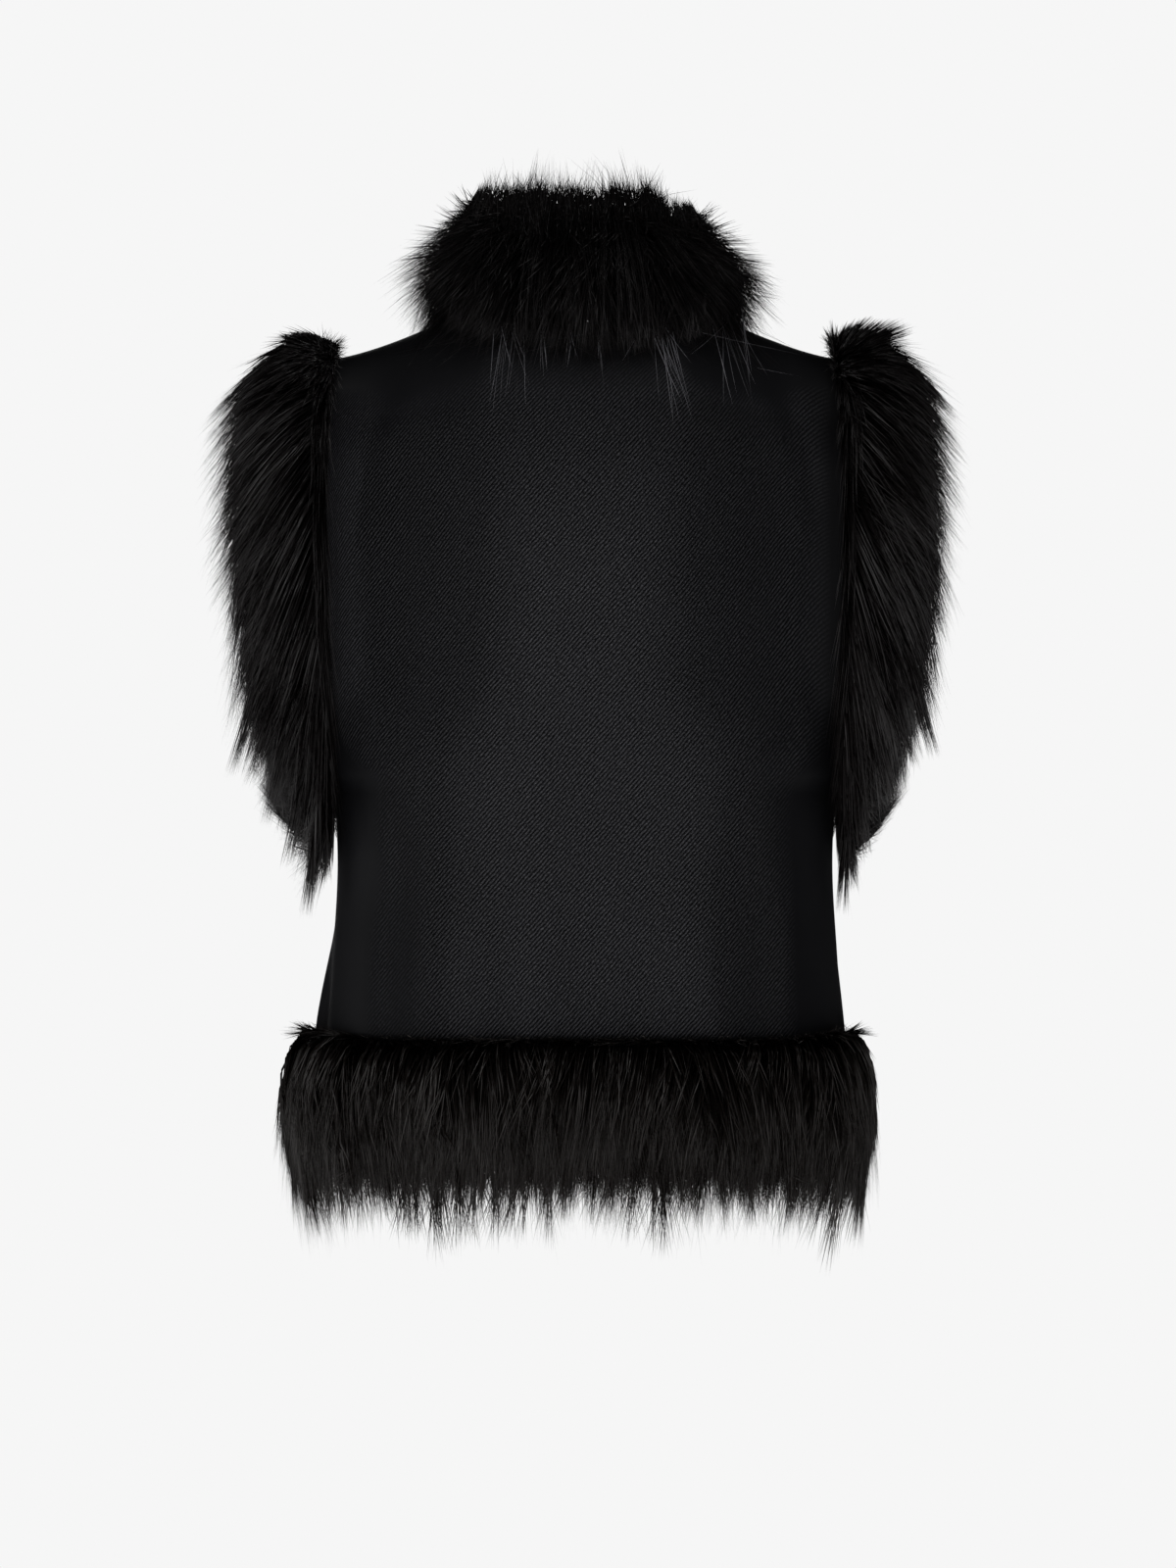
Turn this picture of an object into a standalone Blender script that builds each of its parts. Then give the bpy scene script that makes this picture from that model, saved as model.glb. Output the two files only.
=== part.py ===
"""Fur trimmed wool vest, hollow and in the shape that it has when worn.

Three panels of thick wool twill make the body: one back and two fronts. Long haired fur trims the
neck as a standing collar, each armhole as a cap, and the hem as a wide band.

Frame, in metres: +X is the wearer's left, -Y the front, +Z up. The origin lies between the
shoulders, level with the point where the shoulder line meets the collar, which is where the
wearer's shoulders hold the vest up.
"""

import math
import random
from collections import namedtuple

import bmesh
import bpy
from mathutils import Vector

# Driving dimensions
CLOTH = 0.0025
SEAM_GAP = 0.0003
HEM_HEIGHT = -0.522
UNDERARM_HEIGHT = -0.335
SHOULDER_HALF = 0.187
SHOULDER_TIP_HEIGHT = -0.024
SHOULDER_HOLLOW = 1.4
NECK_HALF = 0.072
NECK_SIDE_HEIGHT = 0.020
FRONT_EDGE = 0.0012
SHOULDER_ROUND = 0.085
YOKE_DEPTH = 0.065
ARMHOLE_ROUND = 0.100

# The torso's sections, from the hem up
Level = namedtuple("Level", "height half_width back_depth front_depth")
BODY_LEVELS = (
    Level(-0.522, 0.1885, 0.108, 0.117),
    Level(-0.460, 0.1840, 0.104, 0.115),
    Level(-0.395, 0.1805, 0.101, 0.115),
    Level(-0.335, 0.1830, 0.101, 0.118),
    Level(-0.240, 0.1875, 0.105, 0.120),
    Level(-0.160, 0.1890, 0.108, 0.113),
    Level(-0.100, 0.1885, 0.104, 0.101),
    Level(-0.050, 0.1875, 0.092, 0.088),
    Level(0.020, 0.1870, 0.072, 0.078),
)

# What differs between the back and the fronts: the neckline's drop, and half the armhole
Face = namedtuple("Face", "sign depth neck_drop armhole_half")
BACK = Face(1, "back_depth", 0.018, 0.062)
FRONT = Face(-1, "front_depth", 0.085, 0.052)

# Soft upright troughs and ridges where the cloth hangs free; a negative rise is a trough
Fold = namedtuple("Fold", "sign across width rise top foot")
FOLDS = (
    Fold(1, 0.142, 0.016, -0.0035, -0.34, -0.60),
    Fold(1, -0.128, 0.020, -0.0028, -0.37, -0.62),
    Fold(1, 0.030, 0.035, 0.0022, -0.30, -0.66),
    Fold(-1, 0.138, 0.018, -0.0040, -0.32, -0.60),
    Fold(-1, -0.150, 0.015, -0.0032, -0.36, -0.62),
    Fold(-1, 0.060, 0.030, 0.0025, -0.28, -0.66),
    Fold(-1, -0.070, 0.026, 0.0030, -0.26, -0.64),
)
# The fronts belly out just before the side seam, more on the wearer's left
FLARE_LEFT = 0.0140
FLARE_RIGHT = 0.0060
FLARE_TOP = -0.400
FLARE_START = 0.80
FLARE_BEND = 5

# Cloth grid, in intervals
NECK_COLUMNS = 7
SHOULDER_COLUMNS = 7
LOWER_ROWS = 5
CHEST_ROWS = 6
SHOULDER_ROWS = 8

# Fur sections: outward from the cloth, and up, both in metres unless a comment says otherwise
HEM_STATIONS = 108
Around = namedtuple("Around", "outward height")
HEM_SECTION = (
    Around(-0.0010, -0.0007),
    Around(0.0030, -0.0007),
    Around(0.0130, 0.0045),
    Around(0.0245, -0.0050),
    Around(0.0300, -0.0240),
    Around(0.0310, -0.0540),
    Around(0.0295, -0.0860),
    Around(0.0170, -0.1130),
    Around(0.0020, -0.0960),
    Around(-0.0070, -0.0600),
    Around(-0.0050, -0.0200),
)
HEM_TIP = 7
HEM_SIDE_RISE = 0.005
# The band stands out a little more on the wearer's left than on the right
HEM_LEAN = 0.08
HEM_LOCK = (0.004, 0.024)
HEM_CORNER_LOCK = 0.010

COLLAR_STATIONS = 57
COLLAR_BACK_TOP = 0.100
COLLAR_FRONT_TOP = 0.046
# On the wearer's right the collar's top drops by a step
COLLAR_STEP = 0.011
COLLAR_STEP_AT = (-0.044, -0.058)
COLLAR_FRONT_SHARE = 0.75
COLLAR_LOW_AT = -0.085
COLLAR_HIGH_AT = 0.030
COLLAR_LIFT = CLOTH / 2 + 0.0005
COLLAR_CLEAR = 0.0050
COLLAR_DRAPE = 0.020
COLLAR_END_ANGLE = math.radians(178)
# For the collar, height is the share of the way from the neckline to the top
COLLAR_SECTION = (
    Around(0.0000, 0.00),
    Around(0.0050, 0.02),
    Around(0.0240, -1.00),
    Around(0.0400, -1.00),
    Around(0.0490, 0.11),
    Around(0.0505, 0.28),
    Around(0.0435, 0.50),
    Around(0.0315, 0.72),
    Around(0.0190, 0.90),
    Around(0.0080, 1.00),
    Around(-0.0020, 0.92),
    Around(-0.0080, 0.60),
    Around(-0.0060, 0.20),
)
COLLAR_TOP = 9
COLLAR_LOCK = (0.003, 0.014)

ARM_STATIONS = 60
ARM_GAP = 0.0012
ARM_LOW_GAP = CLOTH / 2 + 0.0004
# Between these heights the cloth beside the seam turns from facing outward to facing back
ARM_EDGE_TURN = (-0.290, -0.240)
# The fur laps over the seam, and further at the shoulder's tip
ARM_SIDE_LIP = 0.005
ARM_LIP = 0.012
ARM_LIP_FROM = (-0.075, -0.030)
# For the arms, outward is away from the body's middle and radial is away from the arm
Cap = namedtuple("Cap", "outward radial")
ARM_UPPER_SECTION = (
    Cap(0.000, -0.005),
    Cap(0.000, 0.007),
    Cap(0.002, 0.015),
    Cap(0.014, 0.026),
    Cap(0.034, 0.033),
    Cap(0.056, 0.030),
    Cap(0.073, 0.018),
    Cap(0.080, 0.002),
    Cap(0.072, -0.011),
    Cap(0.048, -0.015),
    Cap(0.020, -0.012),
)
ARM_LOWER_SECTION = (
    Cap(0.000, -0.002),
    Cap(0.000, 0.010),
    Cap(0.001, 0.030),
    Cap(0.003, 0.062),
    Cap(0.013, 0.082),
    Cap(0.028, 0.064),
    Cap(0.041, 0.036),
    Cap(0.043, 0.014),
    Cap(0.034, 0.000),
    Cap(0.020, -0.006),
    Cap(0.008, -0.006),
)
ARM_LIP_POINT = 2
ARM_TIP = 7
ARM_LOWER_TIP = 4
ARM_UPPER_START = -0.290
ARM_LOCK = (0.002, 0.011)
ARM_HANG = 1.1
# How far the fur stands out, as a share of the upper section, and how far its outer end hangs
Reach = namedtuple("Reach", "height outward droop")
ARM_REACH = (
    Reach(-0.345, 0.55, 0.030),
    Reach(-0.290, 0.70, 0.036),
    Reach(-0.240, 0.84, 0.042),
    Reach(-0.190, 0.92, 0.040),
    Reach(-0.120, 1.00, 0.036),
    Reach(-0.060, 1.01, 0.034),
    Reach(-0.010, 0.94, 0.030),
)
DROOP_BEND = 1.4

LOCK_RIDGE = 0.055
LOCK_SEED = 11

# Colours: wool twill and dyed fur, linear
WOOL_COLOUR = (0.0152, 0.0152, 0.0171)
FUR_COLOUR = (0.0048, 0.0043, 0.0041)


def table_value(rows, column, height):
    """A table column at a height, on a smooth curve through the rows, which go up."""
    heights = [row.height for row in rows]
    values = [getattr(row, column) for row in rows]
    height = min(max(height, heights[0]), heights[-1])
    last = len(rows) - 1
    low = min(sum(step <= height for step in heights[1:]), last - 1)
    high = low + 1
    span = heights[high] - heights[low]
    share = (height - heights[low]) / span

    def slope(row):
        before = max(row - 1, 0)
        after = min(row + 1, last)
        return (values[after] - values[before]) / (heights[after] - heights[before])

    rise = 3 * share**2 - 2 * share**3
    start = share * (1 - share) ** 2 * span * slope(low)
    end = share**2 * (share - 1) * span * slope(high)
    return values[low] + (values[high] - values[low]) * rise + start + end


def smooth_step(share):
    """0 to 1 with level ends, for a share from 0 to 1."""
    share = min(max(share, 0.0), 1.0)
    return share * share * (3 - 2 * share)


def smooth_between(ends, value):
    """0 at the first end to 1 at the second, with level ends."""
    return smooth_step((value - ends[0]) / (ends[1] - ends[0]))


def quarter_round(share):
    """Height of a quarter circle of radius 1 over the share of its width."""
    share = min(max(share, 0.0), 1.0)
    return math.sqrt(1 - (1 - share) ** 2)


def ridge_height(across):
    """Height of the shoulder's ridge, which runs level over the neck and hollow to the tip."""
    share = (abs(across) - NECK_HALF) / (SHOULDER_HALF - NECK_HALF)
    fall = (1 - min(max(share, 0.0), 1.0)) ** SHOULDER_HOLLOW
    return SHOULDER_TIP_HEIGHT + (NECK_SIDE_HEIGHT - SHOULDER_TIP_HEIGHT) * fall


def top_height(face, across):
    """Height of a panel's top edge: an elliptical neckline, then the shoulder seam."""
    bow = math.sqrt(max(1 - (across / NECK_HALF) ** 2, 0.0))
    return ridge_height(across) - face.neck_drop * bow


def fold_rise(face, across, height):
    """How far the upright folds move a panel's surface at one place."""
    rise = 0.0
    for fold in FOLDS:
        if fold.sign == face.sign and fold.foot < height < fold.top:
            share = (fold.top - height) / (fold.top - fold.foot)
            bell = math.exp(-(((across - fold.across) / fold.width) ** 2))
            rise += fold.rise * bell * math.sin(math.pi * share)
    return rise


def panel_depth(face, across, height):
    """Distance of a panel from the plane of the side seams.

    Across the body it is a rounded box, 1 - t^p raised to a power, which takes the armhole's half
    width at its edge. Towards the top edge it closes over the shoulder in a quarter round.
    """
    share = min(abs(across) / SHOULDER_HALF, 1.0)
    above = (height - UNDERARM_HEIGHT) / ARMHOLE_ROUND
    upper = smooth_step(above)
    lateral = (1 - share ** (2.7 - 0.5 * upper)) ** (0.45 + 0.25 * upper)
    centre = table_value(BODY_LEVELS, face.depth, height)
    edge = face.armhole_half * quarter_round(above) * (1 - lateral) * share**4
    full = centre * lateral + edge + fold_rise(face, across, height)
    return full * quarter_round((ridge_height(across) - height) / SHOULDER_ROUND)


def flare(face, across, height):
    """The belly of a front beside the side seam, as seen past the back panel's edge."""
    if face.sign > 0 or height > FLARE_TOP:
        return 0.0
    share = abs(across) / SHOULDER_HALF
    if share < FLARE_START:
        return 0.0
    size = FLARE_LEFT if across > 0 else FLARE_RIGHT
    along = smooth_step((FLARE_TOP - height) / (FLARE_TOP - HEM_HEIGHT))
    bulge = math.sin(math.pi * ((share - FLARE_START) / (1 - FLARE_START)) ** FLARE_BEND)
    return math.copysign(size * along * bulge, across)


def panel_point(face, across, height):
    """A point of a panel's middle surface, for a column's place at shoulder width."""
    width = table_value(BODY_LEVELS, "half_width", height) / SHOULDER_HALF
    out = across * width + flare(face, across, height)
    depth = panel_depth(face, across, height) + SEAM_GAP
    return Vector((out, face.sign * depth, height))


def resample(points, count, closed):
    """The points that cut a line of points into equal lengths."""
    line = list(points) + ([points[0]] if closed else [])
    lengths = [0.0]
    for before, after in zip(line, line[1:]):
        lengths.append(lengths[-1] + (after - before).length)
    made = []
    k = 0
    for place in range(count):
        target = lengths[-1] * place / (count if closed else count - 1)
        while k < len(line) - 2 and lengths[k + 1] < target:
            k += 1
        share = (target - lengths[k]) / (lengths[k + 1] - lengths[k])
        made.append(line[k].lerp(line[k + 1], share))
    return made


def top_places(face, start):
    """Places of the columns along a panel's top edge, from its middle to the armhole."""
    dense = 90
    angles = [math.asin(start / NECK_HALF) * (1 - k / dense) + math.pi / 2 * k / dense
              for k in range(dense + 1)]
    line = []
    for angle in angles:
        across = NECK_HALF * math.sin(angle)
        height = top_height(face, across)
        line.append(Vector((across, panel_depth(face, across, height), height)))
    neck = [point.x for point in resample(line, NECK_COLUMNS + 1, closed=False)]
    step = (SHOULDER_HALF - NECK_HALF) / SHOULDER_COLUMNS
    return neck + [NECK_HALF + step * k for k in range(1, SHOULDER_COLUMNS + 1)]


def hem_places(start):
    """Places of the columns at the hem, close together where the side turns."""
    count = NECK_COLUMNS + SHOULDER_COLUMNS
    across = [SHOULDER_HALF * math.sin(math.pi / 2 * k / count) for k in range(count + 1)]
    return [start] + across[1:]


def yoke_height(across, turn):
    """Height on the shoulder's round for a turn from 0 at the ridge to 1, and below it past 1."""
    ridge = ridge_height(across)
    if turn < 1:
        return ridge - SHOULDER_ROUND * (1 - math.cos(turn * math.pi / 2))
    return ridge - SHOULDER_ROUND - YOKE_DEPTH * (turn - 1)


def grid_point(face, top_place, hem_place, row):
    """A grid point of a panel.

    Above the yoke's foot the columns fan out from the neckline and the shoulder seam, by turn round
    the shoulder. Below it they run straight down, to the underarm and then to the hem.
    """
    left = LOWER_ROWS + CHEST_ROWS + SHOULDER_ROWS - row
    if left <= SHOULDER_ROWS:
        share = left / SHOULDER_ROWS
        drop = (ridge_height(top_place) - top_height(face, top_place)) / SHOULDER_ROUND
        start = math.acos(1 - min(drop, 1.0)) / (math.pi / 2)
        turn = start + (2 - start) * share**1.3
        across = hem_place + (top_place - hem_place) * (1 - share) ** 2
        return panel_point(face, across, yoke_height(across, turn))
    foot = yoke_height(hem_place, 2)
    if row >= LOWER_ROWS:
        share = (row - LOWER_ROWS) / CHEST_ROWS
        return panel_point(face, hem_place, UNDERARM_HEIGHT + (foot - UNDERARM_HEIGHT) * share)
    height = HEM_HEIGHT + (UNDERARM_HEIGHT - HEM_HEIGHT) * row / LOWER_ROWS
    return panel_point(face, hem_place, height)


def material(name, colour, roughness):
    made = bpy.data.materials.new(name)
    made.use_nodes = True
    shader = made.node_tree.nodes["Principled BSDF"]
    shader.inputs["Base Color"].default_value = (*colour, 1.0)
    shader.inputs["Roughness"].default_value = roughness
    made.diffuse_color = (*colour, 1.0)
    return made


def add_object(name, shape, finish, collection):
    """Turns a bmesh into an object of the vest."""
    mesh = bpy.data.meshes.new(name)
    shape.to_mesh(mesh)
    shape.free()
    mesh.shade_smooth()
    mesh.materials.append(finish)
    made = bpy.data.objects.new(name, mesh)
    collection.objects.link(made)
    return made


def mirrored(places):
    """The places across both halves, for places that run from the middle to one side."""
    return [-place for place in reversed(places)] + places[1:]


def cloth_panel(name, face, tops, hems, finish, collection):
    """A cut piece: a grid laid on the body's surface, then given the cloth's thickness."""
    rows = LOWER_ROWS + CHEST_ROWS + SHOULDER_ROWS
    last = len(tops) - 1
    shape = bmesh.new()
    bmesh.ops.create_grid(shape, x_segments=last, y_segments=rows, size=1.0)
    for vertex in shape.verts:
        column = round((vertex.co.x + 1) / 2 * last)
        row = round((vertex.co.y + 1) / 2 * rows)
        vertex.co = grid_point(face, tops[column], hems[column], row)
    if face.sign > 0:
        bmesh.ops.reverse_faces(shape, faces=shape.faces)
    panel = add_object(name, shape, finish, collection)
    wall = panel.modifiers.new("Cloth", "SOLIDIFY")
    wall.thickness = CLOTH
    wall.offset = 0.0
    wall.use_even_offset = True
    return panel


def outward_normals(points, closed, up):
    """At each point of a path, the direction square to it and to up, away from the loop."""
    normals = []
    for k in range(len(points)):
        before = points[k - 1] if closed or k > 0 else points[0]
        after = points[(k + 1) % len(points)] if closed or k < len(points) - 1 else points[-1]
        normals.append((after - before).cross(up).normalized())
    return normals


def lock_sizes(count, size, seed):
    """Length of the lock at each station: locks at odd stations, and short hair between them."""
    chance = random.Random(seed)
    low, high = size
    return [chance.uniform(low, high) if k % 2 else 0.0 for k in range(count)]


def loft(name, sections, closed, finish, collection):
    """A solid through a row of sections, all with as many points, closed in a ring or capped."""
    shape = bmesh.new()
    rings = [[shape.verts.new(point) for point in section] for section in sections]
    pairs = list(zip(rings, rings[1:]))
    if closed:
        pairs.append((rings[-1], rings[0]))
    else:
        shape.faces.new(rings[0])
        shape.faces.new(rings[-1])
    count = len(rings[0])
    for first, second in pairs:
        for k in range(count):
            after = (k + 1) % count
            shape.faces.new((first[k], first[after], second[after], second[k]))
    bmesh.ops.recalc_face_normals(shape, faces=shape.faces)
    return add_object(name, shape, finish, collection)


def hem_path():
    """The hem's line at the cloth, from the right front edge round the back to the left one."""
    points = []
    fronts = hem_places(FRONT_EDGE)
    backs = hem_places(0.0)
    points += [panel_point(FRONT, -x, HEM_HEIGHT) for x in fronts]
    points += [panel_point(BACK, -x, HEM_HEIGHT) for x in reversed(backs)]
    points += [panel_point(BACK, x, HEM_HEIGHT) for x in backs[1:]]
    points += [panel_point(FRONT, x, HEM_HEIGHT) for x in reversed(fronts)]
    return resample(points, HEM_STATIONS, closed=False)


def hem_fur(finish, collection):
    """The wide band below the cloth: a bellied section whose foot ends in pointed locks."""
    path = hem_path()
    normals = outward_normals(path, closed=False, up=Vector((0, 0, -1)))
    locks = lock_sizes(HEM_STATIONS, HEM_LOCK, LOCK_SEED)
    sections = []
    for point, normal, lock in zip(path, normals, locks):
        beside = smooth_step((abs(point.x) / SHOULDER_HALF - 0.75) / 0.2)
        section = []
        for k, around in enumerate(HEM_SECTION):
            outward = around.outward * (1 + HEM_LEAN * point.x / SHOULDER_HALF)
            height = around.height
            if 2 <= k <= HEM_TIP:
                outward *= 1 + (LOCK_RIDGE if lock else -LOCK_RIDGE)
            if k in (2, 3):
                height += HEM_SIDE_RISE * beside
            if k == HEM_TIP and lock:
                height -= lock + HEM_CORNER_LOCK * beside
            section.append(point + normal * outward + Vector((0, 0, height)))
        sections.append(section)
    return loft("hem_fur", sections, False, finish, collection)


def cloth_height(place):
    """Height of the shoulder's cloth below or above a place, or None where there is none."""
    face = BACK if place.y > 0 else FRONT
    high = ridge_height(place.x)
    low = high - SHOULDER_ROUND
    if abs(place.y) >= panel_depth(face, place.x, low):
        return None
    for _ in range(24):
        middle = (low + high) / 2
        if panel_depth(face, place.x, middle) > abs(place.y):
            low = middle
        else:
            high = middle
    return high


def neck_path():
    """The neckline, from the right front edge round the nape to the left front edge."""
    points = []
    dense = 240
    for k in range(dense + 1):
        angle = -COLLAR_END_ANGLE + 2 * COLLAR_END_ANGLE * k / dense
        face = BACK if math.cos(angle) > 0 else FRONT
        across = NECK_HALF * math.sin(angle)
        height = top_height(face, across)
        points.append(Vector((across, face.sign * panel_depth(face, across, height), height)))
    return resample(points, COLLAR_STATIONS, closed=False)


def collar_fur(finish, collection):
    """The standing collar: it rises from the neckline, and its foot lies over the shoulders."""
    path = neck_path()
    flat = [Vector((point.x, point.y, 0)) for point in path]
    normals = outward_normals(flat, closed=False, up=Vector((0, 0, -1)))
    locks = lock_sizes(COLLAR_STATIONS, COLLAR_LOCK, LOCK_SEED + 1)
    sections = []
    for number, (point, normal, lock) in enumerate(zip(path, normals, locks)):
        towards_back = smooth_between((COLLAR_LOW_AT, COLLAR_HIGH_AT), point.y)
        top = COLLAR_FRONT_TOP + (COLLAR_BACK_TOP - COLLAR_FRONT_TOP) * towards_back
        top -= COLLAR_STEP * smooth_between(COLLAR_STEP_AT, point.x)
        run = path[min(number + 1, len(path) - 1)] - path[max(number - 1, 0)]
        base = point.z + COLLAR_LIFT * run.length / run.xy.length
        section = []
        for k, around in enumerate(COLLAR_SECTION):
            ridge = 1 + (LOCK_RIDGE if lock else -LOCK_RIDGE)
            outward = around.outward * (COLLAR_FRONT_SHARE + (1 - COLLAR_FRONT_SHARE) * towards_back)
            outward *= ridge if 1 < k < COLLAR_TOP else 1
            place = point + normal * outward
            if around.height < 0:
                cloth = cloth_height(place)
                place.z = base - COLLAR_DRAPE
                if cloth is not None:
                    place.z = max(place.z, cloth + COLLAR_CLEAR)
            else:
                place.z = base + (top - base) * around.height
            if k == COLLAR_TOP:
                place.z += lock
            section.append(place)
        sections.append(section)
    return loft("collar_fur", sections, False, finish, collection)


def armhole_path():
    """The armhole's edge, up the back from the underarm, over the shoulder and down the front."""
    dense = 120
    rising = [
        UNDERARM_HEIGHT + (SHOULDER_TIP_HEIGHT - UNDERARM_HEIGHT) * smooth_step(k / dense)
        for k in range(dense + 1)
    ]
    back = [panel_depth(BACK, SHOULDER_HALF, height) for height in rising]
    front = [-panel_depth(FRONT, SHOULDER_HALF, height) for height in rising]
    points = [Vector((0, y, z)) for y, z in zip(back, rising)]
    points += [Vector((0, y, z)) for y, z in zip(front[-2:0:-1], rising[-2:0:-1])]
    return resample(points, ARM_STATIONS, closed=True)


def arm_fur(name, side, finish, collection):
    """The cap of fur round an armhole: it stands out and droops, and hangs down underneath."""
    path = armhole_path()
    normals = outward_normals(path, closed=True, up=Vector((1, 0, 0)))
    locks = lock_sizes(ARM_STATIONS, ARM_LOCK, LOCK_SEED + 2 + side)
    sections = []
    for point, normal, lock in zip(path, normals, locks):
        upper = smooth_between((UNDERARM_HEIGHT, ARM_UPPER_START), point.z)
        normal =(normal + Vector((0, 0, -ARM_HANG * (1 - upper)))).normalized()
        scale = table_value(ARM_REACH, "outward", point.z)
        droop = table_value(ARM_REACH, "droop", point.z)
        whole = ARM_UPPER_SECTION[ARM_TIP].outward
        ridge = 1 + (LOCK_RIDGE if lock else -LOCK_RIDGE)
        lip = ARM_SIDE_LIP + (ARM_LIP - ARM_SIDE_LIP) * smooth_between(ARM_LIP_FROM, point.z)
        clear = ARM_LOW_GAP + (ARM_GAP - ARM_LOW_GAP) * smooth_between(ARM_EDGE_TURN, point.z)
        section = []
        for k, (high, low) in enumerate(zip(ARM_UPPER_SECTION, ARM_LOWER_SECTION)):
            high_out = high.outward * scale
            high_out += lock if k == ARM_TIP else 0.0
            high_out -= lip if k == ARM_LIP_POINT else 0.0
            low_radial = low.radial + (lock if k == ARM_LOWER_TIP else 0.0)
            outward = low.outward + (high_out - low.outward) * upper
            radial = low_radial + (high.radial - low_radial) * upper
            if ARM_LIP_POINT < k < ARM_TIP:
                radial *= ridge
            hang = droop * (max(outward, 0.0) / whole) ** DROOP_BEND * upper
            place = point + normal * radial
            place.z -= hang
            half = table_value(BODY_LEVELS, "half_width", place.z)
            place.x = side * (half + clear + outward)
            section.append(place)
        sections.append(section)
    return loft(name, sections, True, finish, collection)


def main():
    for old in list(bpy.data.objects):
        bpy.data.objects.remove(old)
    vest = bpy.data.collections.new("fur_trimmed_vest")
    bpy.context.scene.collection.children.link(vest)
    wool = material("black_wool_twill", WOOL_COLOUR, 0.85)
    fur = material("black_dyed_fur", FUR_COLOUR, 0.55)

    tops = top_places(BACK, 0.0)
    hems = hem_places(0.0)
    cloth_panel("back_panel", BACK, mirrored(tops), mirrored(hems), wool, vest)
    tops = top_places(FRONT, FRONT_EDGE)
    hems = hem_places(FRONT_EDGE)
    cloth_panel("front_left", FRONT, tops, hems, wool, vest)
    right_tops = [-place for place in reversed(tops)]
    right_hems = [-place for place in reversed(hems)]
    cloth_panel("front_right", FRONT, right_tops, right_hems, wool, vest)

    collar_fur(fur, vest)
    arm_fur("arm_fur_left", 1, fur, vest)
    arm_fur("arm_fur_right", -1, fur, vest)
    hem_fur(fur, vest)


main()
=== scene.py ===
# %% [markdown]
# # A fur trimmed wool vest
# The vest is three panels of black wool twill, with long haired fur sewn round the neck, the
# armholes and the hem. The shapes of the panels and of the fur's outer limits are those of the
# part's solids, so their formulas come first, as numpy arrays. Then come the cloth, the skins that
# carry the hair, the hair itself, and last the light and the camera.

# %% Frame
from functools import partial

import bpy
import numpy as np
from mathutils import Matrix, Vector


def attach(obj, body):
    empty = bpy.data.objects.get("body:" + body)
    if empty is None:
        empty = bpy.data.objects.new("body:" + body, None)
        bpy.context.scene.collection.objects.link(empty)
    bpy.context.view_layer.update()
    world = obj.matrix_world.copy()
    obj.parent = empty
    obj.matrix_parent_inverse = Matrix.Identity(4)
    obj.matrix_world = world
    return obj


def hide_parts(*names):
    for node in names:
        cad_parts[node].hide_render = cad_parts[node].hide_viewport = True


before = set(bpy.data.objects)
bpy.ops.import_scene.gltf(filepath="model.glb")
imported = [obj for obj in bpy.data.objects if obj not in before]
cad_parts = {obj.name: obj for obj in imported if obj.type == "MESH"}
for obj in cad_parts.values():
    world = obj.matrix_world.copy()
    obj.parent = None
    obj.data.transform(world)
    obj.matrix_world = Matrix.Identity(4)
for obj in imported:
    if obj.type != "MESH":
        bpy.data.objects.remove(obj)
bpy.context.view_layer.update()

print("solids:", sorted(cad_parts))

# %% [markdown]
# ## The body's form
# A garment that is worn has no flat cut any more: across it is a rounded box, and up it follows the
# body. A table of half widths and depths at a few heights, joined by smooth curves, is the
# pattern maker's way of writing this down, and every other piece is laid out from it.

# %% Sizes of the body
CLOTH = 0.0025
SEAM_LAP = 0.0003
HEM_HEIGHT, UNDERARM_HEIGHT = -0.522, -0.335
SHOULDER_HALF, SHOULDER_TIP_HEIGHT, SHOULDER_HOLLOW = 0.187, -0.024, 1.4
NECK_HALF, NECK_SIDE_HEIGHT, FRONT_EDGE = 0.072, 0.020, 0.0012
SHOULDER_ROUND, YOKE_DEPTH, ARMHOLE_ROUND = 0.085, 0.065, 0.100
# Powers of the section, at the waist and what is added above the underarm
SECTION_POWER, SECTION_EASE, EDGE_POWER = (2.7, -0.5), (0.45, 0.25), 4

# Height, half width, depth of the back, depth of the front
LEVELS = np.array([
    (-0.522, 0.1885, 0.108, 0.117),
    (-0.460, 0.1840, 0.104, 0.115),
    (-0.395, 0.1805, 0.101, 0.115),
    (-0.335, 0.1830, 0.101, 0.118),
    (-0.240, 0.1875, 0.105, 0.120),
    (-0.160, 0.1890, 0.108, 0.113),
    (-0.100, 0.1885, 0.104, 0.101),
    (-0.050, 0.1875, 0.092, 0.088),
    (0.020, 0.1870, 0.072, 0.078),
])
BACK, FRONT = 1, -1
LEFT, RIGHT = 1, -1
DEPTH_COLUMN = {BACK: 2, FRONT: 3}
NECK_DROP = {BACK: 0.018, FRONT: 0.085}
ARMHOLE_HALF = {BACK: 0.062, FRONT: 0.052}

# Upright folds in mm: side, from (x, z), to (x, z), width, rise
FOLDS = (
    (BACK, 142, -340, 142, -600, 16, -3.5), (BACK, -128, -370, -128, -620, 20, -2.8),
    (BACK, 30, -300, 30, -660, 35, 2.2), (FRONT, 138, -320, 138, -600, 18, -4.0),
    (FRONT, -150, -360, -150, -620, 15, -3.2), (FRONT, 60, -280, 60, -660, 30, 2.5),
    (FRONT, -70, -260, -70, -640, 26, 3.0),
)
FLARE = {LEFT: 0.0140, RIGHT: 0.0060}
FLARE_TOP, FLARE_START, FLARE_BEND = -0.400, 0.80, 5


# %% Curves
def smooth_step(share):
    """3 t^2 - 2 t^3: from 0 to 1 with level ends."""
    share = np.clip(share, 0, 1)
    return share * share * (3 - 2 * share)


def between(low, high, value):
    """smooth_step of the way from low to high."""
    return smooth_step((value - low) / (high - low))


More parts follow.
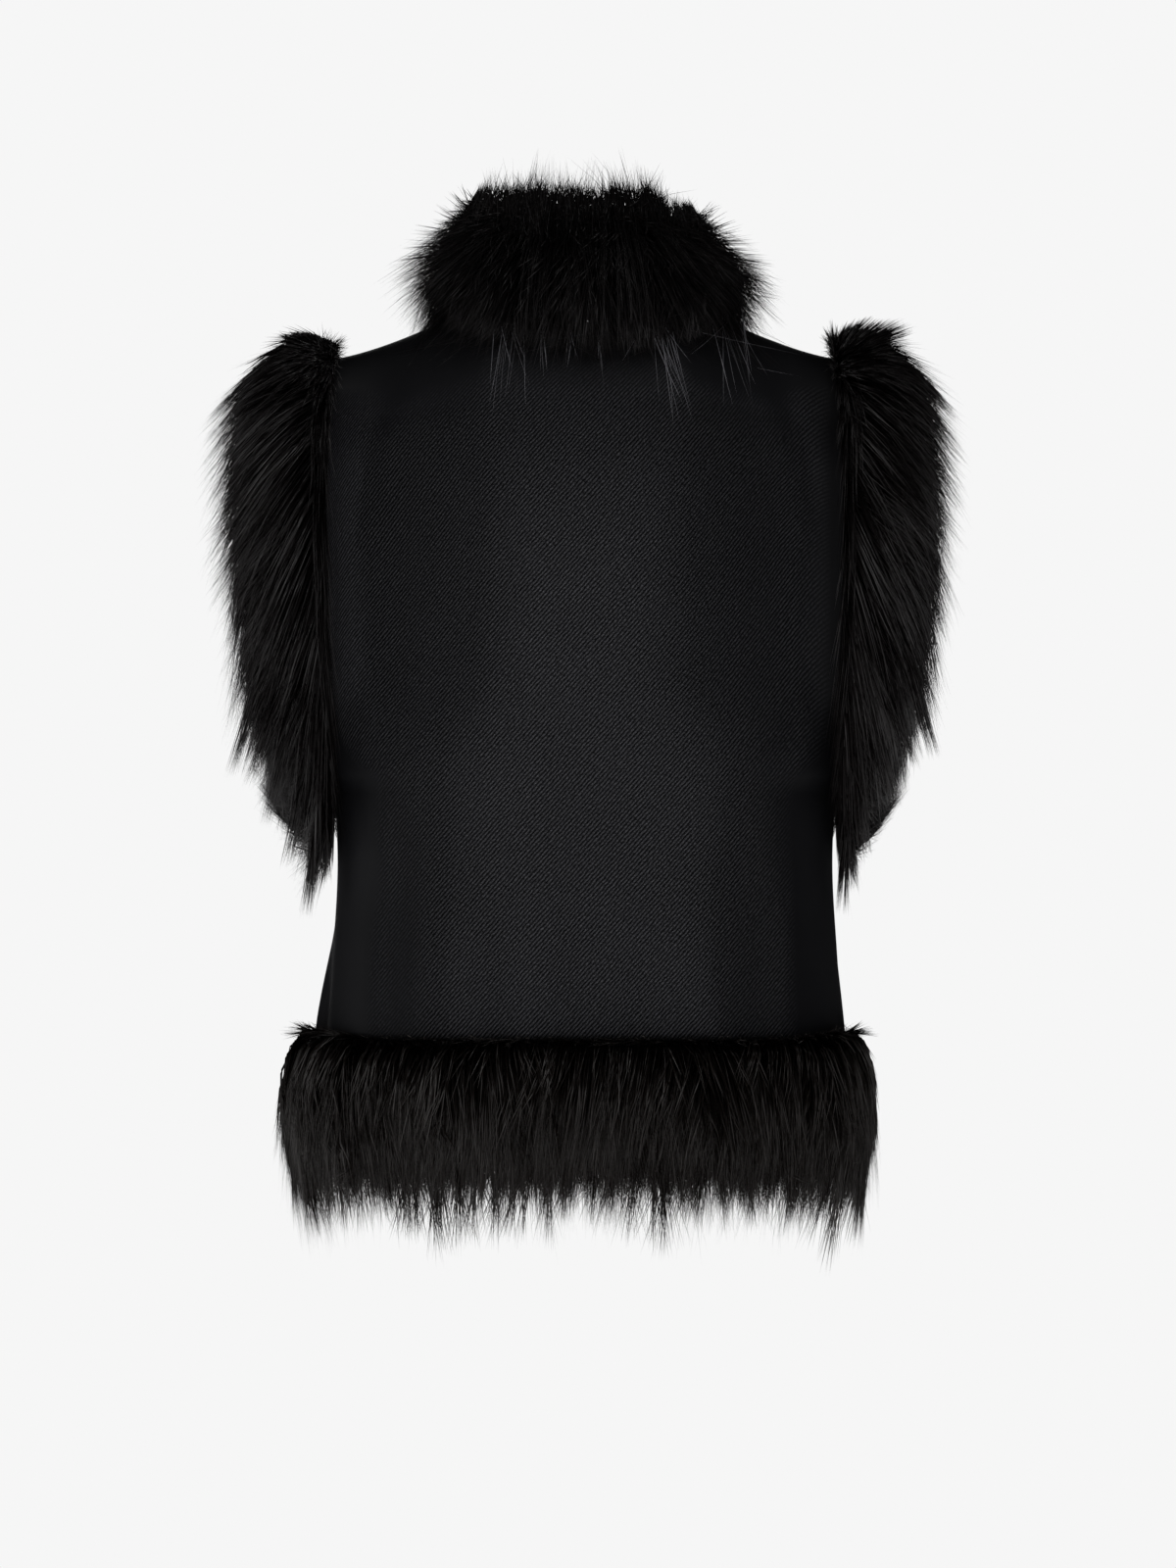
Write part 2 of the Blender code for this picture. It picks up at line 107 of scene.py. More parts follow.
def quarter_round(share):
    """Square root of 1 - (1 - t)^2: a quarter circle."""
    return np.sqrt(1 - (1 - np.clip(share, 0, 1)) ** 2)


def table_curve(heights, values, height):
    """A cubic between each two rows, whose end slopes are those between the rows on either side."""
    rows = np.arange(len(heights))
    before, after = np.maximum(rows - 1, 0), np.minimum(rows + 1, rows[-1])
    slopes = (values[after] - values[before]) / (heights[after] - heights[before])
    height = np.clip(height, heights[0], heights[-1])
    low = np.clip(np.searchsorted(heights, height, side="right") - 1, 0, rows[-1] - 1)
    span = heights[low + 1] - heights[low]
    share = (height - heights[low]) / span
    bend = share * (1 - share) ** 2 * slopes[low] + share**2 * (share - 1) * slopes[low + 1]
    return values[low] + (values[low + 1] - values[low]) * smooth_step(share) + bend * span


def half_width(height):
    return table_curve(LEVELS[:, 0], LEVELS[:, 1], height)


print("half width at the chest, mm:", round(float(half_width(-0.24)) * 1000, 1))

# %% [markdown]
# ## Soft creases
# The back hangs almost smooth. What breaks it are shallow drags: from the shoulders down to the
# armholes, puckers beside the armhole seams, and slack just above the heavy fur of the hem. Each
# is a ridge or a trough along a short line, with a bell across it and a swell along it.

# %% Creases
# In mm: side, from (x, z), to (x, z), width, rise
CREASES = (
    (BACK, 150, -52, 168, -165, 11, -1.4), (BACK, -146, -46, -170, -150, 12, -1.6),
    (BACK, 110, -30, 158, -110, 15, 1.2), (BACK, -118, -28, -160, -122, 13, 1.1),
    (BACK, 172, -235, 120, -300, 12, -1.3), (BACK, -174, -262, -128, -345, 14, -1.5),
    (BACK, 168, -330, 140, -440, 12, 1.4), (BACK, -165, -372, -150, -500, 11, 1.3),
    (BACK, 85, -430, 70, -545, 16, -1.4), (BACK, -52, -455, -40, -550, 18, -1.2),
    (BACK, -92, -470, -98, -548, 12, 1.0), (BACK, 6, -400, 18, -540, 14, -1.0),
    (FRONT, 148, -50, 166, -170, 12, -1.5), (FRONT, -150, -48, -168, -158, 11, -1.4),
    (FRONT, 170, -240, 105, -310, 13, -1.6), (FRONT, -172, -255, -110, -318, 12, -1.4),
    (FRONT, 90, -130, 104, -260, 17, 1.6), (FRONT, -84, -140, -98, -280, 16, 1.5),
    (FRONT, 95, -420, 88, -545, 14, -1.5), (FRONT, -110, -440, -104, -548, 15, -1.3),
    (FRONT, 30, -450, 34, -545, 12, 1.1), (FRONT, -34, -430, -30, -540, 13, 1.2),
)


def drag_rise(rows, side, across, height):
    """Sum of rise * exp(-(distance / width)^2) * sin(pi * way along the line)."""
    total = np.zeros(np.broadcast(across, height).shape)
    for owner, *numbers in rows:
        if owner == side:
            x0, z0, x1, z1, width, rise = np.array(numbers) / 1000
            run = np.hypot(x1 - x0, z1 - z0)
            along = ((across - x0) * (x1 - x0) + (height - z0) * (z1 - z0)) / run**2
            off = ((across - x0) * (z1 - z0) - (height - z0) * (x1 - x0)) / run
            total += rise * np.exp(-((off / width) ** 2)) * np.sin(np.pi * np.clip(along, 0, 1))
    return total


# %% [markdown]
# ## The surface that the panels lie on
# Back and front close over the shoulders in a quarter round whose ridge runs level over the neck
# and then falls, slightly hollow, to the shoulder's tip. The necklines are elliptical drops below
# that ridge.


# %% Surface of the body
def ridge_height(across):
    """Level over the neck, then a fall to the tip by (1 - t)^1.4."""
    share = np.clip((np.abs(across) - NECK_HALF) / (SHOULDER_HALF - NECK_HALF), 0, 1)
    fall = (1 - share) ** SHOULDER_HOLLOW
    return SHOULDER_TIP_HEIGHT + (NECK_SIDE_HEIGHT - SHOULDER_TIP_HEIGHT) * fall


def top_height(side, across):
    """The ridge, less half an ellipse at the neck."""
    bow = np.sqrt(np.maximum(1 - (across / NECK_HALF) ** 2, 0))
    return ridge_height(across) - NECK_DROP[side] * bow


def panel_depth(side, across, height):
    """centre * (1 - t^p)^q plus the armhole's half width at the edge, shut by a quarter round."""
    share = np.minimum(np.abs(across) / SHOULDER_HALF, 1)
    above = (height - UNDERARM_HEIGHT) / ARMHOLE_ROUND
    upper = smooth_step(above)
    power, ease = (start + more * upper for start, more in (SECTION_POWER, SECTION_EASE))
    lateral = np.maximum(1 - share**power, 0) ** ease
    centre = table_curve(LEVELS[:, 0], LEVELS[:, DEPTH_COLUMN[side]], height)
    edge = ARMHOLE_HALF[side] * quarter_round(above) * (1 - lateral) * share**EDGE_POWER
    full = centre * lateral + edge + drag_rise(FOLDS, side, across, height)
    return full * quarter_round((ridge_height(across) - height) / SHOULDER_ROUND)


def flare(side, across, height):
    """How far a front bellies out beside the side seam: a sine pushed towards the edge."""
    share = np.clip((np.abs(across) / SHOULDER_HALF - FLARE_START) / (1 - FLARE_START), 0, 1)
    size = np.where(across > 0, FLARE[LEFT], FLARE[RIGHT]) * (side == FRONT)
    along = smooth_step((FLARE_TOP - height) / (FLARE_TOP - HEM_HEIGHT))
    return np.sign(across) * size * along * np.sin(np.pi * share**FLARE_BEND)


def panel_point(side, across, height, lift=0.0):
    """The body's surface for a place across, told at shoulder width, and a height."""
    across, height = np.broadcast_arrays(np.asarray(across, float), np.asarray(height, float))
    out = across * half_width(height) / SHOULDER_HALF + flare(side, across, height)
    depth = panel_depth(side, across, height) - SEAM_LAP + lift
    return np.stack([out, side * depth, height], axis=-1)


# %% Lines along the surface
def lengths_along(points):
    """Distance walked along a line of points, from 0."""
    steps = np.linalg.norm(np.diff(points, axis=0), axis=1)
    return np.concatenate([[0], np.cumsum(steps)])


def even_points(points, count, closed=False):
    """Points that cut a line into equal lengths; a closed line ends where it starts."""
    line = np.vstack([points, points[:1]]) if closed else points
    walked = lengths_along(line)
    places = np.linspace(0, walked[-1], count)
    return np.stack([np.interp(places, walked, column) for column in line.T], axis=-1)


def outward_normals(points, up, closed=False):
    """The cross product of the line's direction and up, as unit vectors."""
    if closed:
        run = np.vstack([points[1:], points[1:2]]) - np.vstack([points[-2:-1], points[:-1]])
    else:
        run = np.gradient(points, axis=0)
    square = np.cross(run, up)
    return square / np.linalg.norm(square, axis=1, keepdims=True)


# %% [markdown]
# ## Helpers for meshes and for nodes
# Every piece is a list of vertices and a list of faces, put into the mesh in one go. The finish of
# each piece follows its own UV map: metres on the cloth, and on the fur the chance number of the
# hair and the way from its root to its tip. One helper makes every node, and short forms of it
# stand for the kinds that come up often.


# %% Helpers
def add_piece(name, points, faces, uv, finish, node):
    """A mesh object from arrays; faces all have as many corners, and uv is one pair a vertex."""
    points, faces = np.asarray(points, np.float32), np.asarray(faces, np.int32)
    mesh = bpy.data.meshes.new(name)
    mesh.vertices.add(len(points))
    mesh.vertices.foreach_set("co", points.ravel())
    mesh.loops.add(faces.size)
    mesh.loops.foreach_set("vertex_index", faces.ravel())
    mesh.polygons.add(len(faces))
    mesh.polygons.foreach_set("loop_start", np.arange(len(faces), dtype=np.int32) * faces.shape[1])
    mesh.update(calc_edges=True)
    layer = mesh.uv_layers.new(name="UVMap")
    layer.data.foreach_set("uv", np.asarray(uv, np.float32)[faces.ravel()].ravel())
    mesh.shade_smooth()
    mesh.materials.append(finish)
    piece = bpy.data.objects.new(name, mesh)
    bpy.context.scene.collection.objects.link(piece)
    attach(piece, "root")
    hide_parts(node)
    print(name, "triangles:", len(faces) * (faces.shape[1] - 2))
    return piece


def add_node(tree, kind, settings=None, **inputs):
    """A node with its settings; each input is a value or another node's output."""
    node = tree.nodes.new(kind)
    for key, value in (settings or {}).items():
        setattr(node, key, value)
    for key, value in inputs.items():
        socket = node.inputs[int(key[1:]) if key[0] == "i" and key[1:].isdigit() else key]
        if isinstance(value, bpy.types.NodeSocket):
            tree.links.new(value, socket)
        else:
            socket.default_value = value
    return node


def linear(code):
    """sRGB hex to linear: c / 12.92 below 0.04045, else ((c + 0.055) / 1.055)^2.4."""
    parts = np.array([int(code[k:k + 2], 16) for k in (1, 3, 5)]) / 255
    parts = np.where(parts <= 0.04045, parts / 12.92, ((parts + 0.055) / 1.055) ** 2.4)
    return (*[float(part) for part in parts], 1.0)


def maths(tree, operation, *values):
    """The result of a Math node."""
    return add_node(tree, "ShaderNodeMath", {"operation": operation},
                    **{f"i{k}": value for k, value in enumerate(values)}).outputs[0]


def ranged(tree, value, low, high, start, end):
    """A value's way from low to high, as a number from start to end."""
    return add_node(tree, "ShaderNodeMapRange", i0=value, i1=low, i2=high, i3=start,
                    i4=end).outputs[0]


def mixed(tree, factor, first, second, blend="MIX"):
    """Two colours mixed by a factor."""
    return add_node(tree, "ShaderNodeMix", {"data_type": "RGBA", "blend_type": blend}, i0=factor,
                    i6=first, i7=second).outputs[2]


def split(tree, vector):
    """A vector's three outputs."""
    return add_node(tree, "ShaderNodeSeparateXYZ", Vector=vector).outputs


def ramp(tree, value, *stops):
    """A colour ramp; the first two stops are those it has, and the others are added."""
    node = add_node(tree, "ShaderNodeValToRGB", Fac=value)
    elements = node.color_ramp.elements
    for k, (place, colour) in enumerate(stops):
        stop = elements[k] if k < 2 else elements.new(place)
        stop.position, stop.color = place, colour
    return node.outputs[0]


def new_finish(name, **constants):
    """A material's tree, with its shader; constants are values of the shader's own sockets."""
    made = bpy.data.materials.new(name)
    made.use_nodes = True
    shader = made.node_tree.nodes["Principled BSDF"]
    for socket, value in constants.items():
        shader.inputs[socket.replace("_", " ")].default_value = value
    return made, made.node_tree, shader


def into(shader, **links):
    """Joins outputs to the shader's sockets of those names."""
    for socket, output in links.items():
        shader.id_data.links.new(output, shader.inputs[socket.replace("_", " ")])


# %% [markdown]
# ## Black wool twill
# The cloth is a heavy, milled coat twill: a wool yarn woven so that its floats step sideways row
# by row, which draws fine diagonal ribs, 2.4 mm apart here, rising to the right as seen from
# outside. The ribs are a wave across the diagonal, broken up by noise into single floats, and they
# drive the colour, the shine and a shallow bump. Shade is painted into the colour and the shine:
# the cloth is made darker and its ribs fade where it turns away from the view, while the yoke,
# whose normal points up, keeps most of its colour. Beside the armholes a painted shadow of the long
# fur darkens the cloth and calms its ribs.

# %% Twill
RIB, RIB_TURN, RIB_BUMP, RIB_CALM = 0.0024, np.radians(48), 0.0012, 0.22
# Where the painted shadow of the fur begins and is full, and its strength: in X on the wearer's
# right and left, and in Z
SHADE_RIGHT, SHADE_LEFT = (-0.152, -0.180, 0.0, 1.0), (0.156, 0.182, 0.0, 0.4)
SHADE_ABOVE, SHADE_LEAVES = (-0.38, -0.31, 0.0, 1.0), 0.35
# Painted shade: how far the cloth turns away, and what is left of its light, painted into its
# colour and shine; the ramp's own two stops come first
TURNED_AWAY_SHADE = ((0.005, 1.0), (0.47, 0.62), (0.045, 0.66), (0.16, 0.48))


def twill_finish():
    made, tree, shader = new_finish("black_wool_twill", Roughness=0.58)
    uv = add_node(tree, "ShaderNodeUVMap").outputs[0]
    lines = add_node(tree, "ShaderNodeMapping", Vector=uv,
                     Rotation=(0, 0, float(-RIB_TURN))).outputs[0]
    # A wave texture repeats every 2 pi / (20 * scale) along y
    ribs = add_node(tree, "ShaderNodeTexWave",
                    {"wave_type": "BANDS", "bands_direction": "Y", "wave_profile": "SIN"},
                    Vector=lines, Scale=float(2 * np.pi / (20 * RIB)), Distortion=1.6, Detail=2.0)
    ribs.inputs["Detail Scale"].default_value = 1.6
    stretched = add_node(tree, "ShaderNodeMapping", Vector=lines, Scale=(0.55, 1.0, 1.0))
    floats = add_node(tree, "ShaderNodeTexNoise", Vector=stretched.outputs[0], Scale=820.0,
                      Detail=1.5, Roughness=0.6)
    broken = maths(tree, "MULTIPLY", ranged(tree, ribs.outputs["Fac"], 0.0, 1.0, 0.10, 1.0),
                   ranged(tree, floats.outputs["Fac"], 0.30, 0.70, 0.25, 1.0))
    # Painted shade: where the cloth turns from the view, its colour and shine are darkened and its
    # ribs calmed
    facing = add_node(tree, "ShaderNodeLayerWeight", Blend=0.5).outputs["Facing"]
    # A painted shadow of the armholes' fur on the cloth beside them, found by place in X and Z
    place = split(tree, add_node(tree, "ShaderNodeTexCoord").outputs["Object"])
    beside = maths(tree, "ADD", ranged(tree, place["X"], *SHADE_RIGHT),
                   ranged(tree, place["X"], *SHADE_LEFT))
    painted_fur_shadow = maths(tree, "MULTIPLY", beside, ranged(tree, place["Z"], *SHADE_ABOVE))
    calm = maths(tree, "MAXIMUM", ranged(tree, facing, 0.06, 0.24, 0.0, 1.0), painted_fur_shadow)
    even = add_node(tree, "ShaderNodeMix", {"data_type": "FLOAT"}, i0=calm, i2=broken,
                    i3=RIB_CALM).outputs[0]
    patches = add_node(tree, "ShaderNodeTexNoise", Vector=uv, Scale=14.0, Detail=4.0)
    tone = maths(tree, "MULTIPLY_ADD", patches.outputs["Fac"], 0.14, even)
    dyed = ramp(tree, tone, (0.12, linear("#040405")), (0.85, linear("#434349")))
    normal = split(tree, add_node(tree, "ShaderNodeNewGeometry").outputs["Normal"])
    upright = ranged(tree, normal["Z"], 0.05, 0.40, 1.0, 0.15)
    # Painted shade by facing, less where the normal points up, multiplied into the colour and the
    # shine
    away = ramp(tree, maths(tree, "MULTIPLY", facing, upright),
                *((place, (grey, grey, grey, 1.0)) for place, grey in TURNED_AWAY_SHADE))
    # The painted fur shadow darkens the colour and the shine
    shade = ranged(tree, painted_fur_shadow, 0.0, 1.0, 1.0, SHADE_LEAVES)
    shine = maths(tree, "MULTIPLY", ranged(tree, even, 0.05, 0.85, 0.04, 1.0), away)
    bump = add_node(tree, "ShaderNodeBump", Height=even, Strength=1.0, Distance=RIB_BUMP)
    into(shader, Specular_IOR_Level=maths(tree, "MULTIPLY", shine, shade), Normal=bump.outputs[0],
         Base_Color=mixed(tree, 1.0, mixed(tree, 1.0, dyed, away, "MULTIPLY"), shade, "MULTIPLY"))
    return made


TWILL = twill_finish()

# %% [markdown]
# ## The panels
# Each panel is a grid: its columns fan out from the neckline and the shoulder seam over the
# shoulder's round, then run straight down to the hem. The UV map holds the distance walked along
# the grid, so the ribs keep their real spacing where the cloth turns. Solidify gives the grid the
# thickness of the cloth.

# %% Panel grids
NECK_COLUMNS, SHOULDER_COLUMNS = 22, 22
YOKE_ROWS, CHEST_ROWS, LOWER_ROWS = 30, 26, 26


def top_places(side, start):
    """Columns along the top edge: equal lengths along the neckline, then even steps."""
    angles = np.linspace(np.arcsin(start / NECK_HALF), np.pi / 2, 200)
    across = NECK_HALF * np.sin(angles)
    height = top_height(side, across)
    line = np.stack([across, panel_depth(side, across, height), height], axis=-1)
    neck = even_points(line, NECK_COLUMNS + 1)[:, 0]
    return np.concatenate([neck, np.linspace(NECK_HALF, SHOULDER_HALF, SHOULDER_COLUMNS + 1)[1:]])


def hem_places(start):
    """Columns at the hem: half width * sin, so that they crowd where the side turns."""
    places = SHOULDER_HALF * np.sin(np.linspace(0, np.pi / 2, NECK_COLUMNS + SHOULDER_COLUMNS + 1))
    places[0] = start
    return places


def panel_grid(side, tops, hems):
    """Points of a panel by row, from the top edge to the hem, and by column."""
    share = np.linspace(0, 1, YOKE_ROWS + 1)[:, None]
    drop = (ridge_height(tops) - top_height(side, tops)) / SHOULDER_ROUND
    start = np.arccos(1 - np.minimum(drop, 1)) / (np.pi / 2)
    turn = start + (2 - start) * share**1.3
    across = hems + (tops - hems) * (1 - share) ** 2
    ridge = ridge_height(across)
    over = ridge - SHOULDER_ROUND * (1 - np.cos(np.minimum(turn, 1) * np.pi / 2))
    height = over - YOKE_DEPTH * np.maximum(turn - 1, 0)
    foot = height[-1]
    chest = foot + (UNDERARM_HEIGHT - foot) * np.linspace(0, 1, CHEST_ROWS + 1)[1:, None]
    lower = np.linspace(UNDERARM_HEIGHT, HEM_HEIGHT, LOWER_ROWS + 1)[1:, None] + 0 * hems
    height = np.vstack([height, chest, lower])
    across = np.vstack([across, np.broadcast_to(hems, (CHEST_ROWS + LOWER_ROWS, len(hems)))])
    lift = drag_rise(CREASES, side, across, height)
    return panel_point(side, across, height, lift)


def grid_faces(rows, columns, closed=False):
    """Quads of a grid of points; a closed grid joins its last column to its first."""
    row, column = np.meshgrid(np.arange(rows - 1), np.arange(columns - (not closed)),
                              indexing="ij")
    after = (column + 1) % columns
    corners = [row * columns + column, row * columns + after,
               (row + 1) * columns + after, (row + 1) * columns + column]
    return np.stack(corners, axis=-1).reshape(-1, 4)


def walked(steps, axis):
    """Lengths of a grid's steps added up along an axis, from 0."""
    return np.insert(np.cumsum(np.linalg.norm(steps, axis=2), axis=axis), 0, 0, axis=axis)


def add_panel(name, node, side, tops, hems):
    """A panel with the lengths walked from its middle or first column and from the hem as uv."""
    grid = panel_grid(side, tops, hems)
    across, down = walked(np.diff(grid, axis=1), 1), walked(np.diff(grid, axis=0), 0)
    middle = grid.shape[1] // 2 if side == BACK else 0
    across -= across[:, middle:middle + 1]
    # Seen from outside, the back's columns run from right to left
    uv = np.stack([-side * across, down[-1:] - down], axis=-1)
    faces = grid_faces(*grid.shape[:2])
    if side == FRONT:
        faces = faces[:, ::-1]
    panel = add_piece(name, grid.reshape(-1, 3), faces, uv.reshape(-1, 2), TWILL, node)
    wall = panel.modifiers.new("Cloth", "SOLIDIFY")
    wall.thickness, wall.offset, wall.use_even_offset = CLOTH, 0.0, True
    first, second = grid[1:, 1:] - grid[:-1, :-1], grid[1:, :-1] - grid[:-1, 1:]
    area = np.linalg.norm(np.cross(first, second), axis=2).sum() / 2
    print(name, "area, m2:", round(float(area), 4), "columns to", round(float(down[-1].max()), 3))
    return panel, float(area)


# %% Panels
back_edges = [np.concatenate([-places[:0:-1], places])
              for places in (top_places(BACK, 0.0), hem_places(0.0))]
front_edges = top_places(FRONT, FRONT_EDGE), hem_places(FRONT_EDGE)
back, back_area = add_panel("back_cloth", "back_panel", BACK, *back_edges)
left, left_area = add_panel("front_left_cloth", "front_left", FRONT, *front_edges)
right, right_area = add_panel("front_right_cloth", "front_right", FRONT,
                              *(-places[::-1] for places in front_edges))

# %% [markdown]
# ## How the fur is made
# Real fur is a skin with short, dense underwool and long, glossy guard hairs, and the hair lies in
# locks: neighbours cling together and end in one point. Blender's hair curves would show this, but
# only a mesh leaves Blender, so each hair is a thin closed spike of three sides. It starts on the
# skin, bends through a point between the skin and the fur's outer limit, and ends near that limit,
# a little further along. All hairs of a coat are worked out together as arrays.


# %% Spikes
def unit(vectors):
    """Vectors scaled to length 1."""
    return vectors / np.maximum(np.linalg.norm(vectors, axis=-1, keepdims=True), 1e-9)


# The start is a direction that no hair keeps to; each spike's rings are turned by it
SPIKE_SIDES, SPIKE_TAPER, SPIKE_START = 3, 0.7, np.array([0.31, 0.87, 0.38])


def spikes(root, bend, tip, tone, width, ways):
    """Closed spikes of three sides along (1-t)^2 root + 2 t (1-t) bend + t^2 tip.

    The rings lie at the ways t, which start at 0, and their radius is width / 2 * (1 - t)^0.7, so a
    spike keeps its body and then runs out to a point. Returns points, faces, and uv, whose u is
    the hair's tone and whose v is the way along it.
    """
    count, rings = len(root), len(ways)
    t = np.asarray(ways)[None, :, None]
    line = (1 - t) ** 2 * root[:, None] + 2 * t * (1 - t) * bend[:, None] + t**2 * tip[:, None]
    run = unit(2 * (1 - t) * (bend - root)[:, None] + 2 * t * (tip - bend)[:, None])
    other = unit(np.cross(run[:, :1], SPIKE_START))
    first = unit(np.cross(run, np.broadcast_to(other, run.shape)))
    second = np.cross(run, first)
    radius = width[:, None, None] / 2 * (1 - t) ** SPIKE_TAPER
    turn = np.arange(SPIKE_SIDES) * 2 * np.pi / SPIKE_SIDES
    ring = (line[:, :, None] + radius[..., None] * (
        first[:, :, None] * np.cos(turn)[:, None] + second[:, :, None] * np.sin(turn)[:, None]))
    top = SPIKE_SIDES * rings
    points = np.concatenate([ring.reshape(count, top, 3), tip[:, None]], axis=1)
    corners = [(a, (a + 1) % SPIKE_SIDES) for a in range(SPIKE_SIDES)]
    faces = [(0, 2, 1)]
    for low in range(0, top - SPIKE_SIDES, SPIKE_SIDES):
        high = low + SPIKE_SIDES
        for a, b in corners:
            faces += [(low + a, low + b, high + b), (low + a, high + b, high + a)]
    faces += [(top - SPIKE_SIDES + a, top - SPIKE_SIDES + b, top) for a, b in corners]
    all_faces = (np.arange(count) * (top + 1))[:, None, None] + np.array(faces)[None]
    along = np.append(np.repeat(ways, SPIKE_SIDES), 1.0)
    uv = np.stack(np.broadcast_arrays(tone[:, None], along[None]), axis=-1)
    return points.reshape(-1, 3), all_faces.reshape(-1, 3), uv.reshape(-1, 2)


def join(*parts):
    """Several (points, faces, uv) as one."""
    start = np.cumsum([0] + [len(part[0]) for part in parts[:-1]])
    return (np.vstack([part[0] for part in parts]),
            np.vstack([part[1] + first for part, first in zip(parts, start)]),
            np.vstack([part[2] for part in parts]))


def on_grid(grid, u, v):
    """Points at u along and v across a grid, both from 0 to 1, weighted between its corners."""
    a = np.clip(u, 0, 1) * (grid.shape[0] - 1)
    b = np.clip(v, 0, 1) * (grid.shape[1] - 1)
    i = np.minimum(a.astype(int), grid.shape[0] - 2)
    j = np.minimum(b.astype(int), grid.shape[1] - 2)
    s, t = (a - i)[:, None], (b - j)[:, None]
    low = grid[i, j] * (1 - s) + grid[i + 1, j] * s
    high = grid[i, j + 1] * (1 - s) + grid[i + 1, j + 1] * s
    return low * (1 - t) + high * t


# %% [markdown]
# ## Combing
# A coat is combed between two grids of points: the skin, and the outer limit that the solids give.
# Both run the same way, u along the seam and v from the seam to the free edge. The coat is parted
# twice: into tufts, which share a sway and a length, and each of those into locks, which draw
# their tips together.


# %% Comb
def parted(u, v, cells, chance, numbers):
    """The numbers of each hair's cell, and how far the cell's middle is from it, along u."""
    rows, columns = cells
    row = np.clip(((u + 0.25 / rows * np.sin(37 * v + 11 * u)) * rows).astype(int), 0, rows - 1)
    column = np.clip((v * columns + 0.35 * np.sin(2.4 * row)).astype(int), 0, columns - 1)
    drawn = chance.random((rows, columns, numbers + 1))[row, column]
    return drawn[:, 1:], (row + 0.25 + 0.5 * drawn[:, 0]) / rows - u


def comb(skin, limit, count, chance, tufts, locks, advance, roots=(0.0, 1.0), gather=0.7,
         sway=0.012, flow=None, lift=0.8, depth=(0.8, 1.05), over=(0.0, 0.01), ends=(0.0, 1.0),
         closed=False, partings=(), splay=0.0, drift=(0, 0, 0), crown=None, span=(0.0, 1.0),
         mix=(0.35, 0.4, 0.35), loose=0.0, trim=None):
    """Roots, bends, tips and tones of a coat's hairs.

    A hair at (u, v) ends near v + advance, at u + flow(u) + its tuft's sway, drawn to its lock's
    middle by gather. Its tip lies at a depth between skin (0) and limit (1), and runs on by over,
    in metres, turned outwards by splay and along the vector drift; where over is negative it falls
    short. Each of the partings (place, push, width) bends the tips away from a place, and crown(u)
    scales how far they run on, or turns them back where it is negative. The three shares of mix
    say how much tuft, lock and hair decide on that, span is the part of u that has roots, loose
    adds to how far tips stray along u, and trim shortens hairs.
    """
    u = span[0] + (span[1] - span[0]) * chance.random(count)
    v = roots[0] + (roots[1] - roots[0]) * chance.random(count)
    tuft, _ = parted(u, v, tufts, chance, 4)
    lock, inward = parted(u, v, locks, chance, 4)
    own = chance.random((count, 5))
    length = 0.45 + 0.45 * tuft[:, 0] + 0.35 * lock[:, 0] + 0.3 * own[:, 0]
    tip_u = u + inward * gather * own[:, 1] ** 0.4 + (own[:, 2] - 0.5) * (0.8 / locks[0] + loose)
    tip_u += sway * (2 * tuft[:, 1] - 1 + 0.7 * (lock[:, 1] - 0.5))
    if flow is not None:
        tip_u += flow(u) * length
    for place, push, width in partings:
        off = (u - place) / width
        tip_u += push * np.sign(off) * np.exp(-(off**2))
    tip_v = np.clip(v + advance * length, *ends)
    bend_u, bend_v = u + 0.35 * (tip_u - u), v + 0.4 * (tip_v - v)
    if closed:
        tip_u, bend_u = np.mod(tip_u, 1), np.mod(bend_u, 1)
    root = on_grid(skin, u, v)
    low, high = on_grid(skin, bend_u, bend_v), on_grid(limit, bend_u, bend_v)
    bend = low + (high - low) * (lift * (0.7 + 0.4 * tuft[:, 2] + 0.2 * own[:, 3]))[:, None]
    reach = 0.4 * tuft[:, 3] + 0.35 * lock[:, 2] + 0.25 * own[:, 4]
    low, high = on_grid(skin, tip_u, tip_v), on_grid(limit, tip_u, tip_v)
    tip = low + (high - low) * (depth[0] + (depth[1] - depth[0]) * reach)[:, None]
    further = over[0] + (over[1] - over[0]) * (
        mix[0] * tuft[:, 2] + mix[1] * lock[:, 3] + mix[2] * own[:, 0]) ** 1.4
    if crown is not None:
        further = further * crown(u)
    way = unit(unit(tip - bend) + splay * unit(high - low) + np.array(drift, float))
    tone = 0.25 * tuft[:, 1] + 0.35 * lock[:, 2] + 0.4 * own[:, 3]
    tip = tip + way * further[:, None]
    if trim is not None:
        bend, tip = trim(root, bend, tip, own[:, 1])
    return root, bend, tip, np.clip((tone - 0.5) * 1.6 + 0.42, 0, 0.92)


def skin_between(outside, inside, reach, thick, rows):
    """Skins of both sides: v is shortened to reach, and the depth to a share of the solid's.

    The depth falls off as sqrt(1 - v^4), so the two sides close towards the free edge. The second
    pair is the same with fewer rows, for the body that the hair stands on.
    """
    def pair(along, samples):
        v = np.linspace(0, 1, samples)
        place = [part.ravel() for part in np.meshgrid(np.linspace(0, 1, along), v, indexing="ij")]
        shape = (along, samples, 3)
        out = on_grid(outside, place[0], place[1] * reach).reshape(shape)
        back = on_grid(inside, place[0], place[1] * reach).reshape(shape)
        middle, share = (out + back) / 2, (thick * np.sqrt(1.04 - v**4))[:, None]
        return middle + (out - middle) * share, middle + (back - middle) * share

    return *pair(len(outside), outside.shape[1]), pair(rows, BODY_SAMPLES)


